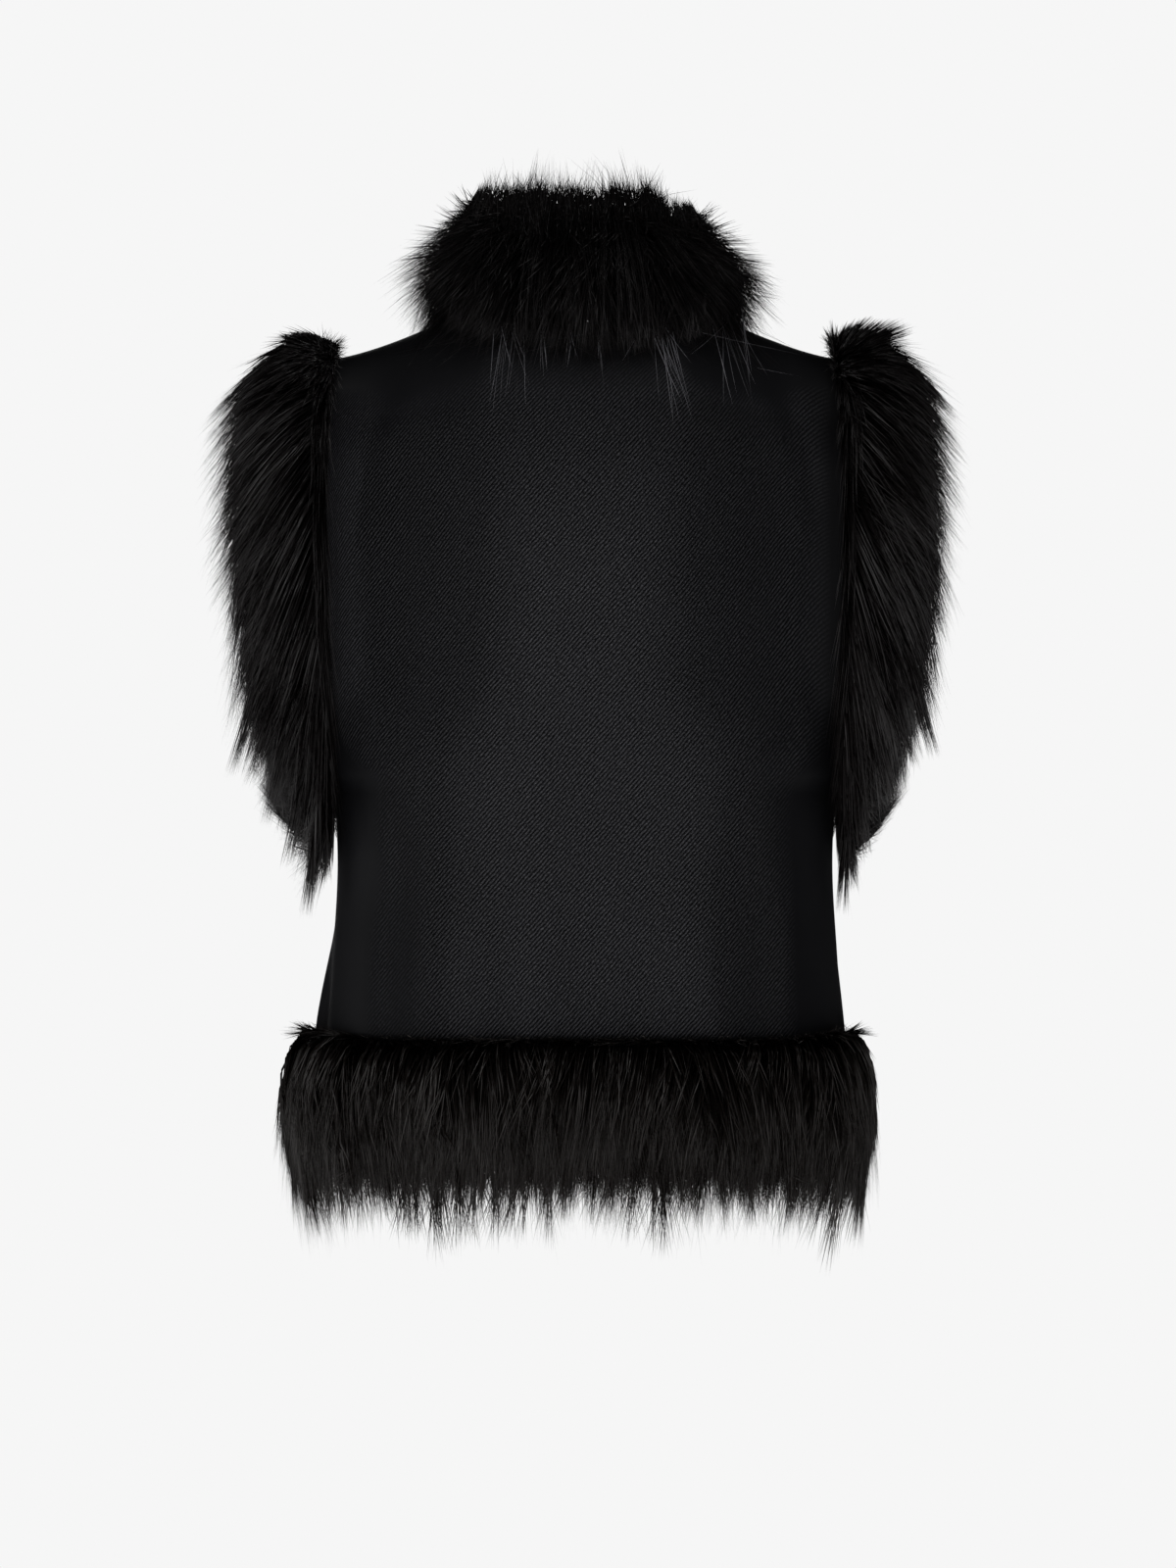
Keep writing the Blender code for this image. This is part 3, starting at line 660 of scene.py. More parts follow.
def skin_body(outer, inner, closed):
    """A closed body between two skins: rings round the section, joined along the seam."""
    rings = np.concatenate([outer, inner[:, ::-1]], axis=1)
    rows, columns = rings.shape[:2]
    if closed:
        rings, rows = rings[:-1], rows - 1
    quads = grid_faces(rows, columns, closed=True)
    if closed:
        column = np.arange(columns)
        after = (column + 1) % columns
        top = (rows - 1) * columns
        quads = np.vstack([quads, np.stack([top + column, top + after, after, column], axis=-1)])
    faces = np.vstack([quads[:, [0, 1, 2]], quads[:, [0, 2, 3]]])
    if not closed:
        k = np.arange(1, columns - 1)
        first = np.stack([0 * k, k + 1, k], axis=-1)
        last = (rows - 1) * columns + np.stack([0 * k, k, k + 1], axis=-1)
        faces = np.vstack([faces, first, last])
    points = rings.reshape(-1, 3)
    corners = points[faces]
    volume = np.einsum("ij,ij->i", corners[:, 0], np.cross(corners[:, 1], corners[:, 2])).sum()
    if volume < 0:
        faces = faces[:, ::-1]
    return points, faces, np.zeros((len(points), 2))


# %% [markdown]
# ## Dyed fur
# The fur is long fox or raccoon, dyed black. Keratin has an IOR of 1.55, and a guard hair is
# smooth, so it shines along its length; the dye leaves a trace of warm brown in the tips of the
# hem. Each hair keeps one chance number in its UV map, which picks its tone and shine, and it gets
# lighter and glossier towards its tip; the dark roots are partly the dye and partly painted shade
# of the deep coat. The last few numbers give a pale painted highlight in the hair's colour.


# %% Fur finish
def fur_finish(name, dark, light, tip, shine, glint):
    """Dark to light by the hair's number, light to tip at its end with painted shade at the root,
    and a pale painted highlight colour on the last few.
    """
    made, tree, shader = new_finish(name, IOR=1.55, Roughness=0.36)
    parts = split(tree, add_node(tree, "ShaderNodeUVMap").outputs[0])
    # The last stop, shine, is a pale painted highlight colour
    tones, ends = (ramp(tree, parts["X"], (0.0, linear(low)), (0.92, linear(high)),
                        (0.97, linear(shine))) for low, high in ((dark, light), (light, tip)))
    gleam = maths(tree, "MULTIPLY", ranged(tree, parts["X"], 0.25, 0.92, 0.03, glint),
                  ranged(tree, parts["Y"], 0.0, 0.8, 0.15, 1.0))
    # Darker towards the root: partly dye, partly painted shade of the deep coat
    fade = maths(tree, "POWER", parts["Y"], 1.5)
    into(shader, Base_Color=mixed(tree, fade, tones, ends), Specular_IOR_Level=gleam)
    return made


# The fourth colour of each finish is its pale painted highlight
COLLAR_FINISH = fur_finish("dyed_fox_fur_collar", "#0a0909", "#181616", "#292526", "#b4b3ba", 0.45)
ARM_FINISH = fur_finish("dyed_fox_fur_arms", "#020101", "#131010", "#2d2829", "#7c7677", 1.0)
HEM_FINISH = fur_finish("dyed_fox_fur_hem", "#020101", "#0f0c0a", "#352e2b", "#706a66", 0.84)

# %% [markdown]
# ## The hem's fur
# A band of fur as wide as a hand hangs from the hem's seam. Its section bellies out below the seam,
# because the hair at the top has nothing above to press it down, and it ends in pointed locks.
# Short thick hairs fill it, long ones lie over them, and wisps hang lowest.

# %% Hem grids
HEM_OUTSIDE = ((0.0030, -0.0007), (0.0130, 0.0045), (0.0245, -0.0050), (0.0300, -0.0240),
               (0.0310, -0.0540), (0.0295, -0.0860), (0.0170, -0.1130))
HEM_INSIDE = ((-0.0010, -0.0007), (-0.0050, -0.0200), (-0.0070, -0.0600), (0.0020, -0.0960),
              (0.0170, -0.1130))
HEM_SIDE_RISE, HEM_RISE_AT, HEM_RISE_WIDTH, HEM_LEAN = 0.005, -0.001, 0.012, 0.08
# The skin's reach, thickness as a share of the solid's, and rows of its body
HEM_SKIN, ARM_SKIN, COLLAR_SKIN_ROWS = (0.66, 0.5, 101), (0.52, 0.45, 81), 61
SAMPLES, BODY_SAMPLES = 25, 9
UP, DOWN = np.array([0, 0, 1.0]), np.array([0, 0, -1.0])


def hem_line(stations):
    """The hem's edge from the right front round the back to the left front, in even steps."""
    fronts, backs = hem_places(FRONT_EDGE), hem_places(0.0)
    line = np.vstack([panel_point(FRONT, -fronts, HEM_HEIGHT),
                      panel_point(BACK, -backs[::-1], HEM_HEIGHT),
                      panel_point(BACK, backs[1:], HEM_HEIGHT),
                      panel_point(FRONT, fronts[::-1], HEM_HEIGHT)])
    return even_points(line, stations)


def at_sides(line):
    """From 0 in the middle of the back and the front to 1 at the sides."""
    return between(0.75, 0.95, np.abs(line[:, 0]) / SHOULDER_HALF)


def hem_grid(points, line, normals):
    """The section carried along the hem: out by the normal, up by the height."""
    section = even_points(np.array(points), SAMPLES)
    out = section[:, 0] * (1 + HEM_LEAN * line[:, 0] / SHOULDER_HALF)[:, None]
    high = np.exp(-(((section[:, 1] - HEM_RISE_AT) / HEM_RISE_WIDTH) ** 2)) * HEM_SIDE_RISE
    up = section[:, 1] + high * at_sides(line)[:, None]
    return line[:, None] + normals[:, None] * out[..., None] + UP * up[..., None]


line = hem_line(301)
normals = outward_normals(line, DOWN)
hem_limit, hem_lining = hem_grid(HEM_OUTSIDE, line, normals), hem_grid(HEM_INSIDE, line, normals)
hem_skin, hem_back, hem_body = skin_between(hem_limit, hem_lining, *HEM_SKIN)
hem_sides = at_sides(line)

# %% Hem hair
chance = np.random.default_rng(21)
FINE, COARSE = (0.0, 0.45), (0.0, 0.3, 0.65)


def widths(count, low, high):
    """Widths of hairs, more of them near low than near high."""
    return low + (high - low) * chance.random(count) ** 1.5


def coat(skin, limit, count, width, ways, **settings):
    """Combs a coat and turns it into spikes."""
    return spikes(*comb(skin, limit, count, chance, **settings), widths(count, *width), ways)


def hem_rim(u):
    """How far the top's hairs stand up: most at the sides."""
    return 0.2 + 0.8 * np.interp(u, np.linspace(0, 1, len(hem_sides)), hem_sides)


hem = partial(coat, hem_skin, hem_limit)
hem_short = hem(
    4200, (0.0012, 0.0024), FINE, tufts=(34, 4), locks=(150, 12), advance=0.34, depth=(0.3, 0.95),
    over=(0, 0.005), splay=0.3)
hem_long = hem(
    12000, (0.0005, 0.0011), FINE, tufts=(30, 3), locks=(110, 6), advance=0.62, gather=0.85,
    sway=0.016, depth=(0.4, 1.10), over=(0.001, 0.022), splay=0.25, drift=(0, 0, -0.6))
hem_fur = join(skin_body(*hem_body, closed=False), hem_short, hem_long)
add_piece("hem_fur_coat", *hem_fur, HEM_FINISH, "hem_fur")

hem_locks = hem(
    5800, (0.0006, 0.0013), FINE, tufts=(60, 1), locks=(150, 2), advance=0.85, roots=(0.42, 1.0),
    gather=0.75, sway=0.008, depth=(0.1, 1.0), over=(0.010, 0.048), drift=(0, 0, -1.2))
hem_wisps = hem(
    1900, (0.0010, 0.0020), FINE, tufts=(40, 1), locks=(64, 1), advance=0.9, roots=(0.6, 1.0),
    gather=0.97, sway=0.004, depth=(0.2, 0.9), over=(0.018, 0.076), drift=(0, 0, -2.5),
    mix=(0.1, 0.75, 0.15), loose=-0.009)
hem_top = hem(
    1300, (0.0004, 0.0010), FINE, tufts=(50, 1), locks=(150, 1), advance=0.03, roots=(0.0, 0.14),
    gather=0.5, depth=(0.5, 1.05), over=(0.004, 0.016), splay=0.9, drift=(0, 0, 0.3), crown=hem_rim)
hem_under = coat(
    hem_back, hem_lining, 2000, (0.0009, 0.0018), FINE, tufts=(40, 2), locks=(110, 5), advance=0.7,
    gather=0.75, depth=(0.3, 0.9), over=(0.0, 0.022), drift=(0, 0, -0.8))
hem_guard = hem(
    4600, (0.0003, 0.0006), FINE, tufts=(44, 2), locks=(170, 4), advance=0.72, gather=0.8,
    sway=0.014, depth=(0.6, 1.2), over=(0.006, 0.052), splay=0.3, drift=(0, 0, -1.0))


def seam_hairs(count):
    """Short light hairs and threads that stick out of the hem's seam, along it and slightly up."""
    at = chance.integers(8, len(line) - 8, count)
    out = (0.0022 + 0.0016 * chance.random(count))[:, None]
    along = unit(np.roll(line, -1, axis=0) - line)[at] * (chance.random(count) - 0.5)[:, None]
    root = line[at] + normals[at] * out + UP * (0.001 + 0.003 * chance.random(count))[:, None]
    tip = root + along * 0.010 + UP * (0.004 * chance.random(count) - 0.001)[:, None]
    bend = (root + tip) / 2 + normals[at] * 0.0012
    return spikes(root, bend, tip, 0.75 + 0.25 * chance.random(count),
                  widths(count, 0.0004, 0.0007), FINE)


add_piece("hem_fur_locks", *join(hem_locks, hem_wisps, hem_top, hem_under, hem_guard,
                                 seam_hairs(420)), HEM_FINISH, "hem_fur")

# %% [markdown]
# ## The collar's fur
# The collar stands up from the neck seam on its own skin. Hair from the upper part points up and
# out, in lobes with partings between them, hair from the foot falls over the shoulders, and long
# guard hairs lie on the back's cloth.

# %% Collar grids
COLLAR_BACK_TOP, COLLAR_FRONT_TOP = 0.100, 0.046
COLLAR_STEP, COLLAR_STEP_AT = 0.011, (-0.044, -0.058)
COLLAR_FRONT_SHARE, COLLAR_LOW_AT, COLLAR_HIGH_AT = 0.75, -0.085, 0.030
COLLAR_LIFT, COLLAR_CLEAR, COLLAR_DRAPE = CLOTH / 2 + 0.0005, 0.0050, 0.020
COLLAR_END_ANGLE = np.radians(178)
# The stand's height as a share of the collar's, and how far out its two sides lie from the lining
COLLAR_STAND, STAND_FOOT, STAND_OUT, STAND_SWELL, STAND_IN = 0.80, 0.005, 0.007, 0.013, 0.002
# Outward in metres, and the share of the way from the neckline to the top; -1 lies on the cloth
COLLAR_OUTSIDE = ((0.0050, 0.02), (0.0240, -1.00), (0.0400, -1.00), (0.0490, 0.11),
                  (0.0505, 0.28), (0.0435, 0.50), (0.0315, 0.72), (0.0190, 0.90), (0.0080, 1.00))
COLLAR_INSIDE = ((0.0000, 0.00), (-0.0060, 0.20), (-0.0080, 0.60), (-0.0020, 0.92),
                 (0.0080, 1.00))


def cloth_height(points):
    """Height of the shoulders' cloth at each (x, y), by halving; -1 where there is none."""
    found = np.full(len(points), -1.0)
    for side in (BACK, FRONT):
        here = points[:, 1] * side > 0
        x, y = points[here, 0], np.abs(points[here, 1])
        high = ridge_height(x)
        low = high - SHOULDER_ROUND
        reached = y < panel_depth(side, x, low)
        for _ in range(24):
            middle = (low + high) / 2
            deeper = panel_depth(side, x, middle) > y
            low, high = np.where(deeper, middle, low), np.where(deeper, high, middle)
        found[here] = np.where(reached, high, -1.0)
    return found


def neck_line(stations):
    """The neckline from the right front round the nape to the left front, in even steps."""
    angle = np.linspace(-COLLAR_END_ANGLE, COLLAR_END_ANGLE, 601)
    across = NECK_HALF * np.sin(angle)
    back_of = np.cos(angle) > 0
    height = np.where(back_of, top_height(BACK, across), top_height(FRONT, across))
    depth = np.where(back_of, panel_depth(BACK, across, height),
                     -panel_depth(FRONT, across, height))
    return even_points(np.stack([across, depth, height], axis=-1), stations)


def collar_grid(points, line, normals):
    """The section carried round the neck; its foot is laid on the cloth."""
    back_share = between(COLLAR_LOW_AT, COLLAR_HIGH_AT, line[:, 1])
    top = COLLAR_FRONT_TOP + (COLLAR_BACK_TOP - COLLAR_FRONT_TOP) * back_share
    top = top - COLLAR_STEP * between(*COLLAR_STEP_AT, line[:, 0])
    run = np.gradient(line, axis=0)
    slope = np.linalg.norm(run, axis=1) / np.linalg.norm(run[:, :2], axis=1)
    base = line[:, 2] + COLLAR_LIFT * slope
    size = COLLAR_FRONT_SHARE + (1 - COLLAR_FRONT_SHARE) * back_share
    corners = []
    for out, share in points:
        place = line + normals * (out * size)[:, None]
        if share < 0:
            cloth = cloth_height(place)
            drape = base - COLLAR_DRAPE
            place[:, 2] = np.where(cloth > -1, np.maximum(drape, cloth + COLLAR_CLEAR), drape)
        else:
            place[:, 2] = base + (top - base) * share
        corners.append(place)
    corners = np.stack(corners, axis=1)
    return np.stack([even_points(row, SAMPLES) for row in corners])


line = neck_line(181)
normals = outward_normals(line * [1, 1, 0], DOWN)
collar_limit = collar_grid(COLLAR_OUTSIDE, line, normals)
collar_lining = collar_grid(COLLAR_INSIDE, line, normals)


def collar_skins(rows, samples):
    """The stand's skin: up from the neckline, swollen by a sine towards the fur's outer limit."""
    u, v = np.linspace(0, 1, rows), np.linspace(0, 1, samples)
    place = [part.ravel() for part in np.meshgrid(u, v * COLLAR_STAND, indexing="ij")]
    inner = on_grid(collar_lining, *place).reshape(rows, samples, 3)
    out = np.stack([np.interp(u, np.linspace(0, 1, len(line)), normals[:, k]) for k in range(3)],
                   axis=-1)
    swell = STAND_OUT + STAND_SWELL * np.sin(np.pi * np.clip(v * 0.86 + 0.07, 0, 1))
    swell[0] = STAND_FOOT
    return inner + out[:, None] * swell[:, None], inner + out[:, None] * STAND_IN


collar_skin, collar_back = collar_skins(len(line), SAMPLES)

# %% Collar hair
def back_place(across):
    """Where along the neckline, from 0 to 1, its back half is at a place across."""
    behind = line[:, 1] > 0
    return float(np.interp(across, line[behind, 0], np.linspace(0, 1, len(line))[behind]))


RADIATE, RADIATE_WIDTH = 0.60, 0.2


def radiate(u):
    """Tips lean away from the nape, most where the back turns to the sides."""
    return RADIATE * (u - 0.5) * np.exp(-(((u - 0.5) / RADIATE_WIDTH) ** 2))


# Place across the back, push along the seam, width
PARTINGS = [(back_place(x), push, width) for x, push, width in (
    (-0.006, 0.010, 0.011), (-0.058, 0.008, 0.012))]
# Place across the back, height of the lobe's tips over the rest, half width
LOBES = [(back_place(x), more, width) for x, more, width in (
    (0.034, 0.75, 0.066), (-0.032, 0.95, 0.048), (-0.072, -0.25, 0.040))]
SIDE_LOSS, SIDE_FROM, SIDE_TO = 1.3, (0.165, 0.215), (0.30, 0.38)


def crown(u):
    """Half length, less at the sides, and more on the lobes by exp(-(distance / width)^4)."""
    off = np.abs(u - 0.5)
    sides = SIDE_LOSS * between(*SIDE_FROM, off) * (1 - between(*SIDE_TO, off))
    return 0.5 - sides + sum(more * np.exp(-(((u - at) / width) ** 4))
                             for at, more, width in LOBES)


collar = partial(coat, collar_skin, collar_limit)
collar_short = collar(
    4000, (0.0012, 0.0024), FINE, tufts=(22, 4), locks=(80, 10), advance=-0.06, depth=(0.70, 1.20),
    over=(0.001, 0.010), ends=(0.2, 1.0), splay=0.9)
collar_long = collar(
    5200, (0.0004, 0.0010), COARSE, tufts=(18, 3), locks=(60, 7), advance=-0.34, roots=(0.2, 1.0),
    gather=0.75, sway=0.030, lift=0.9, depth=(0.9, 1.45), over=(0.003, 0.026), ends=(0.16, 0.97),
    flow=radiate, splay=0.9, drift=(0, 0, -0.5))
collar_body = skin_body(*collar_skins(COLLAR_SKIN_ROWS, BODY_SAMPLES), closed=False)
collar_fur = join(collar_body, collar_short, collar_long)
add_piece("collar_fur_coat", *collar_fur, COLLAR_FINISH, "collar_fur")

# The rim's thick hairs close the outline, and the top's fine ones soften it
upright = dict(locks=(150, 3), advance=0.42, gather=0.2, sway=0.004, partings=PARTINGS,
               splay=0.4, crown=crown)
collar_rim = collar(
    2900, (0.0014, 0.0028), FINE, tufts=(90, 2), roots=(0.6, 1.0), depth=(0.90, 1.10),
    over=(0.000, 0.008), drift=(0, 0, 0.6), mix=(0.2, 0.3, 0.5), loose=0.030, **upright)
collar_top = collar(
    2500, (0.0006, 0.0014), COARSE, tufts=(90, 2), roots=(0.55, 1.0), depth=(0.9, 1.20),
    over=(0.003, 0.018), drift=(0, 0, 0.5), mix=(0.15, 0.25, 0.6), loose=0.040, **upright)
collar_spikes = collar(
    420, (0.0004, 0.0008), COARSE, tufts=(60, 1), locks=(90, 1), advance=0.5, roots=(0.7, 1.0),
    gather=0.6, sway=0.016, depth=(0.9, 1.2), over=(0.012, 0.030), partings=PARTINGS,
    drift=(0, 0, 0.4), crown=crown)
# On both sides, falling hair below and a hump above
beside = dict(tufts=(50, 2), locks=(120, 4), lift=0.9)
collar_sides = [collar(
    560, (0.0004, 0.0010), COARSE, advance=-0.08, roots=(0.15, 0.75), sway=0.02, depth=(1.0, 1.65),
    over=(0.004, 0.030), ends=(0.30, 1.0), splay=1.0, drift=(0, 0, -1.0), span=span, **beside)
    for span in ((0.14, 0.36), (0.64, 0.86))]
collar_humps = [collar(
    420, (0.0006, 0.0014), FINE, advance=0.02, roots=(0.5, 1.0), sway=0.01, depth=(1.1, 1.75),
    over=(0.002, 0.014), ends=(0.5, 0.93), splay=1.2, drift=(0, 0, 0.1), span=span, loose=0.02,
    **beside)
    for span in ((0.20, 0.35), (0.65, 0.80))]
collar_inner = coat(
    collar_back, collar_lining, 1100, (0.0008, 0.0014), FINE, tufts=(22, 2), locks=(60, 4),
    advance=0.25, depth=(0.3, 0.9), over=(0, 0.014), partings=PARTINGS, drift=(0, 0, 0.6))
collar_guard = collar(
    1700, (0.0003, 0.0005), COARSE, tufts=(20, 3), locks=(90, 8), advance=-0.24, gather=0.3,
    sway=0.045, lift=1.1, depth=(1.0, 1.5), over=(0.006, 0.036), ends=(0.18, 1.0), flow=radiate,
    splay=0.8, drift=(0, 0, -0.4))


def falling_hairs(side, count, across, spread, reach, ends, *tones):
    """Long hairs that lie on the cloth below the collar, across + ends at their tips, in mm."""
    def drawn(low, high):
        return low + (high - low) * chance.random(count)

    across, spread, reach, ends = np.array([across, spread, reach, ends]) / 1000
    x = across + spread * (chance.random(count) - 0.5)
    start = drawn(0.004, 0.018)
    x_tip = across + ends + spread * 1.5 * (chance.random(count) - 0.5)
    end = -0.006 - reach * drawn(0.35, 1.0)
    root = panel_point(side, x, start, drawn(0.010, 0.020))
    middle = panel_point(side, x + 0.35 * (x_tip - x), start + 0.45 * (end - start),
                         drawn(0.010, 0.018))
    tip = panel_point(side, x_tip, end, drawn(0.002, 0.006))
    return spikes(root, middle, tip, drawn(*tones), widths(count, 0.0004, 0.0007), COARSE)


# Side, number, in mm the middle, spread, length and sideways, and the lowest and highest tone;
# tones from 0.92 up take the fur's pale painted highlight colour
BUNCHES = (
    (BACK, 8, 60, 12, 68, 2, 0.94, 1.0), (BACK, 7, 50, 16, 60, -4, 0.92, 1.0),
    (BACK, 4, 31, 4, 50, -1, 0.95, 1.0), (BACK, 5, 12, 12, 40, -4, 0.9, 1.0),
    (BACK, 4, -8, 5, 52, -3, 0.95, 1.0), (BACK, 10, -52, 20, 64, -12, 0.95, 1.0),
    (BACK, 7, -56, 12, 76, -14, 0.95, 1.0), (BACK, 8, -98, 18, 56, -14, 0.92, 1.0),
    (BACK, 5, -108, 14, 72, -18, 0.92, 0.99), (BACK, 50, 0, 230, 36, 0, 0.5, 1.0),
    (BACK, 150, 0, 210, 18, 0, 0.0, 0.9), (FRONT, 16, 50, 40, 50, 4, 0.85, 1.0),
    (FRONT, 16, -56, 50, 46, -4, 0.85, 1.0),
)
falls = [falling_hairs(*bunch) for bunch in BUNCHES]
collar_locks = join(collar_rim, collar_top, collar_spikes, *collar_sides, *collar_humps,
                    collar_inner, collar_guard, *falls)
add_piece("collar_fur_locks", *collar_locks, COLLAR_FINISH, "collar_fur")

# %% [markdown]
# ## The fur round the armholes
# Each armhole has a cap of fur instead of a sleeve. At the shoulder the hair stands out to the side
# and droops, and below the arm it hangs. The section turns from the one to the other on its way
# down the armhole.

# %% Arm grids
ARM_GAP, ARM_LOW_GAP, ARM_EDGE_TURN = 0.0012, CLOTH / 2 + 0.0004, (-0.290, -0.240)
ARM_SIDE_LIP, ARM_LIP, ARM_LIP_FROM = 0.005, 0.012, (-0.075, -0.030)
ARM_UPPER_START, ARM_HANG, DROOP_BEND = -0.290, 1.1, 1.4
# Outward from the body, and away from the arm; the row that the lip moves is number 2
ARM_UPPER = ((0.000, -0.005), (0.000, 0.007), (0.002, 0.015), (0.014, 0.026), (0.034, 0.033),
             (0.056, 0.030), (0.073, 0.018), (0.080, 0.002), (0.072, -0.011), (0.048, -0.015),
             (0.020, -0.012))
ARM_LOWER = ((0.000, -0.002), (0.000, 0.010), (0.001, 0.030), (0.003, 0.062), (0.013, 0.082),
             (0.028, 0.064), (0.041, 0.036), (0.043, 0.014), (0.034, 0.000), (0.020, -0.006),
             (0.008, -0.006))
ARM_OUTSIDE, ARM_INSIDE = (1, 2, 3, 4, 5, 6, 7), (0, 10, 9, 8, 7)
# Height, share of the section's reach, how far its end hangs
ARM_REACH = np.array([
    (-0.345, 0.55, 0.030), (-0.290, 0.70, 0.036), (-0.240, 0.84, 0.042), (-0.190, 0.92, 0.040),
    (-0.120, 1.00, 0.036), (-0.060, 1.01, 0.034), (-0.010, 0.94, 0.030)])


def armhole_line(stations):
    """The armhole's edge, up the back, over the shoulder and down the front."""
    rising = UNDERARM_HEIGHT + (SHOULDER_TIP_HEIGHT - UNDERARM_HEIGHT) * smooth_step(
        np.linspace(0, 1, 121))
    back = panel_depth(BACK, SHOULDER_HALF, rising)
    front = -panel_depth(FRONT, SHOULDER_HALF, rising)
    y = np.concatenate([back, front[-2:0:-1]])
    z = np.concatenate([rising, rising[-2:0:-1]])
    return even_points(np.stack([0 * y, y, z], axis=-1), stations, closed=True)


def arm_grid(rows, side, line, normals):
    """The mixed section carried round the armhole, hung by droop * (outward / reach)^1.4."""
    z = line[:, 2]
    upper = between(UNDERARM_HEIGHT, ARM_UPPER_START, z)
    away = unit(normals + DOWN * (ARM_HANG * (1 - upper))[:, None])
    scale = table_curve(ARM_REACH[:, 0], ARM_REACH[:, 1], z)
    hang = table_curve(ARM_REACH[:, 0], ARM_REACH[:, 2], z)
    lip = ARM_SIDE_LIP + (ARM_LIP - ARM_SIDE_LIP) * between(*ARM_LIP_FROM, z)
    clear = ARM_LOW_GAP + (ARM_GAP - ARM_LOW_GAP) * between(*ARM_EDGE_TURN, z)
    corners = []
    for row in rows:
        high_out = ARM_UPPER[row][0] * scale - (lip if row == 2 else 0)
        out = ARM_LOWER[row][0] + (high_out - ARM_LOWER[row][0]) * upper
        radial = ARM_LOWER[row][1] + (ARM_UPPER[row][1] - ARM_LOWER[row][1]) * upper
        place = line + away * radial[:, None]
        share = np.maximum(out, 0) / ARM_UPPER[7][0]
        place[:, 2] -= hang * share**DROOP_BEND * upper
        place[:, 0] = side * (half_width(place[:, 2]) + clear + out)
        corners.append(place)
    corners = np.stack(corners, axis=1)
    return np.stack([even_points(row, SAMPLES) for row in corners])


# %% Arm hair
ARM_SWEEP, ARM_SWEEP_BACK = 0.095, 0.3


def arm_flow(u):
    """Downwards on both halves of the armhole: towards u = 0 on the back, and 1 on the front."""
    return -ARM_SWEEP * np.sin(2 * np.pi * u) * (1 + ARM_SWEEP_BACK * np.cos(2 * np.pi * u))


# Half of the armhole, the roots' height and way out, the tip's x and z, number; lengths in mm. They
# are the locks that hang stepwise from the lower end
TUFTS = {
    LEFT: (
        (BACK, -215, 0.85, 258, -330, 140), (BACK, -245, 0.70, 246, -336, 110),
        (BACK, -265, 0.60, 233, -366, 130), (BACK, -300, 0.50, 218, -396, 90),
        (BACK, -322, 0.40, 205, -432, 110), (BACK, -325, 0.15, 190, -408, 80),
        (FRONT, -225, 0.80, 252, -330, 80), (FRONT, -275, 0.60, 226, -372, 80),
        (FRONT, -320, 0.35, 203, -422, 90)),
    RIGHT: (
        (BACK, -205, 0.85, 255, -316, 150), (BACK, -240, 0.70, 240, -324, 110),
        (BACK, -265, 0.50, 226, -352, 130), (BACK, -300, 0.40, 205, -388, 90),
        (BACK, -322, 0.30, 188, -432, 110), (BACK, -325, 0.15, 196, -404, 80),
        (FRONT, -225, 0.80, 248, -318, 80), (FRONT, -275, 0.60, 222, -360, 80),
        (FRONT, -320, 0.35, 199, -416, 90)),
}
# Height, and how far out the fur stands on the wearer's left and right, in mm; it ends in steps
ARM_OUTLINE = np.array([
    (-425, 207, 190), (-398, 213, 193), (-385, 214, 200), (-359, 215, 215), (-355, 232, 217),
    (-341, 234, 226), (-321, 236, 229), (-317, 256, 229), (-308, 257, 230), (-304, 257, 252),
    (-277, 257, 255), (-243, 258, 257), (-225, 266, 263), (-191, 269, 268), (-156, 274, 270),
    (-104, 275, 273), (-70, 272, 270), (-53, 270, 267), (-35, 254, 259), (-20, 236, 244),
]) / 1000


TRIM_ROUNDS, TRIM_SHARE, TRIM_LEEWAY, TRIM_STRAY = 9, 0.9, 0.004, 0.020


def trim_arm(side):
    """Shortens each hair, a tenth at a time, until its tip is within the outline's reach."""
    heights, reaches = ARM_OUTLINE[:, 0], ARM_OUTLINE[:, 1 if side == LEFT else 2]

    def trim(root, bend, tip, chances):
        for _ in range(TRIM_ROUNDS):
            reach = np.interp(tip[:, 2], heights, reaches)
            beyond = side * tip[:, 0] > reach + TRIM_LEEWAY + TRIM_STRAY * (chances - 0.5)
            share = np.where(beyond, TRIM_SHARE, 1.0)[:, None]
            bend, tip = root + (bend - root) * share, root + (tip - root) * share
        return bend, tip
    return trim


def hanging_tuft(side, skin, line, half, height, out, tip_x, tip_z, count):
    """Hairs from round one place on the skin to near one tip, side * tip_x across."""
    def about(spread):
        return spread * (chance.random(count) - 0.5)

    places = np.linspace(0, 1, len(line))
    here = line[:, 1] * half > 0
    order = np.argsort(line[here, 2])
    u = np.interp(height / 1000, line[here, 2][order], places[here][order])
    root = on_grid(skin, u + about(0.040), out + about(0.30))
    short = 0.4 * chance.random(count) ** 2
    tip = np.stack([side * (tip_x / 1000 + about(0.010)), root[:, 1].mean() + about(0.018),
                    tip_z / 1000 + about(0.006)], axis=-1)
    tip = tip + (root - tip) * short[:, None]
    bend = root * 0.45 + tip * 0.55 + side * np.array([0.006, 0, 0])
    return spikes(root, bend, tip, 0.9 * chance.random(count), widths(count, 0.0006, 0.0014), FINE)


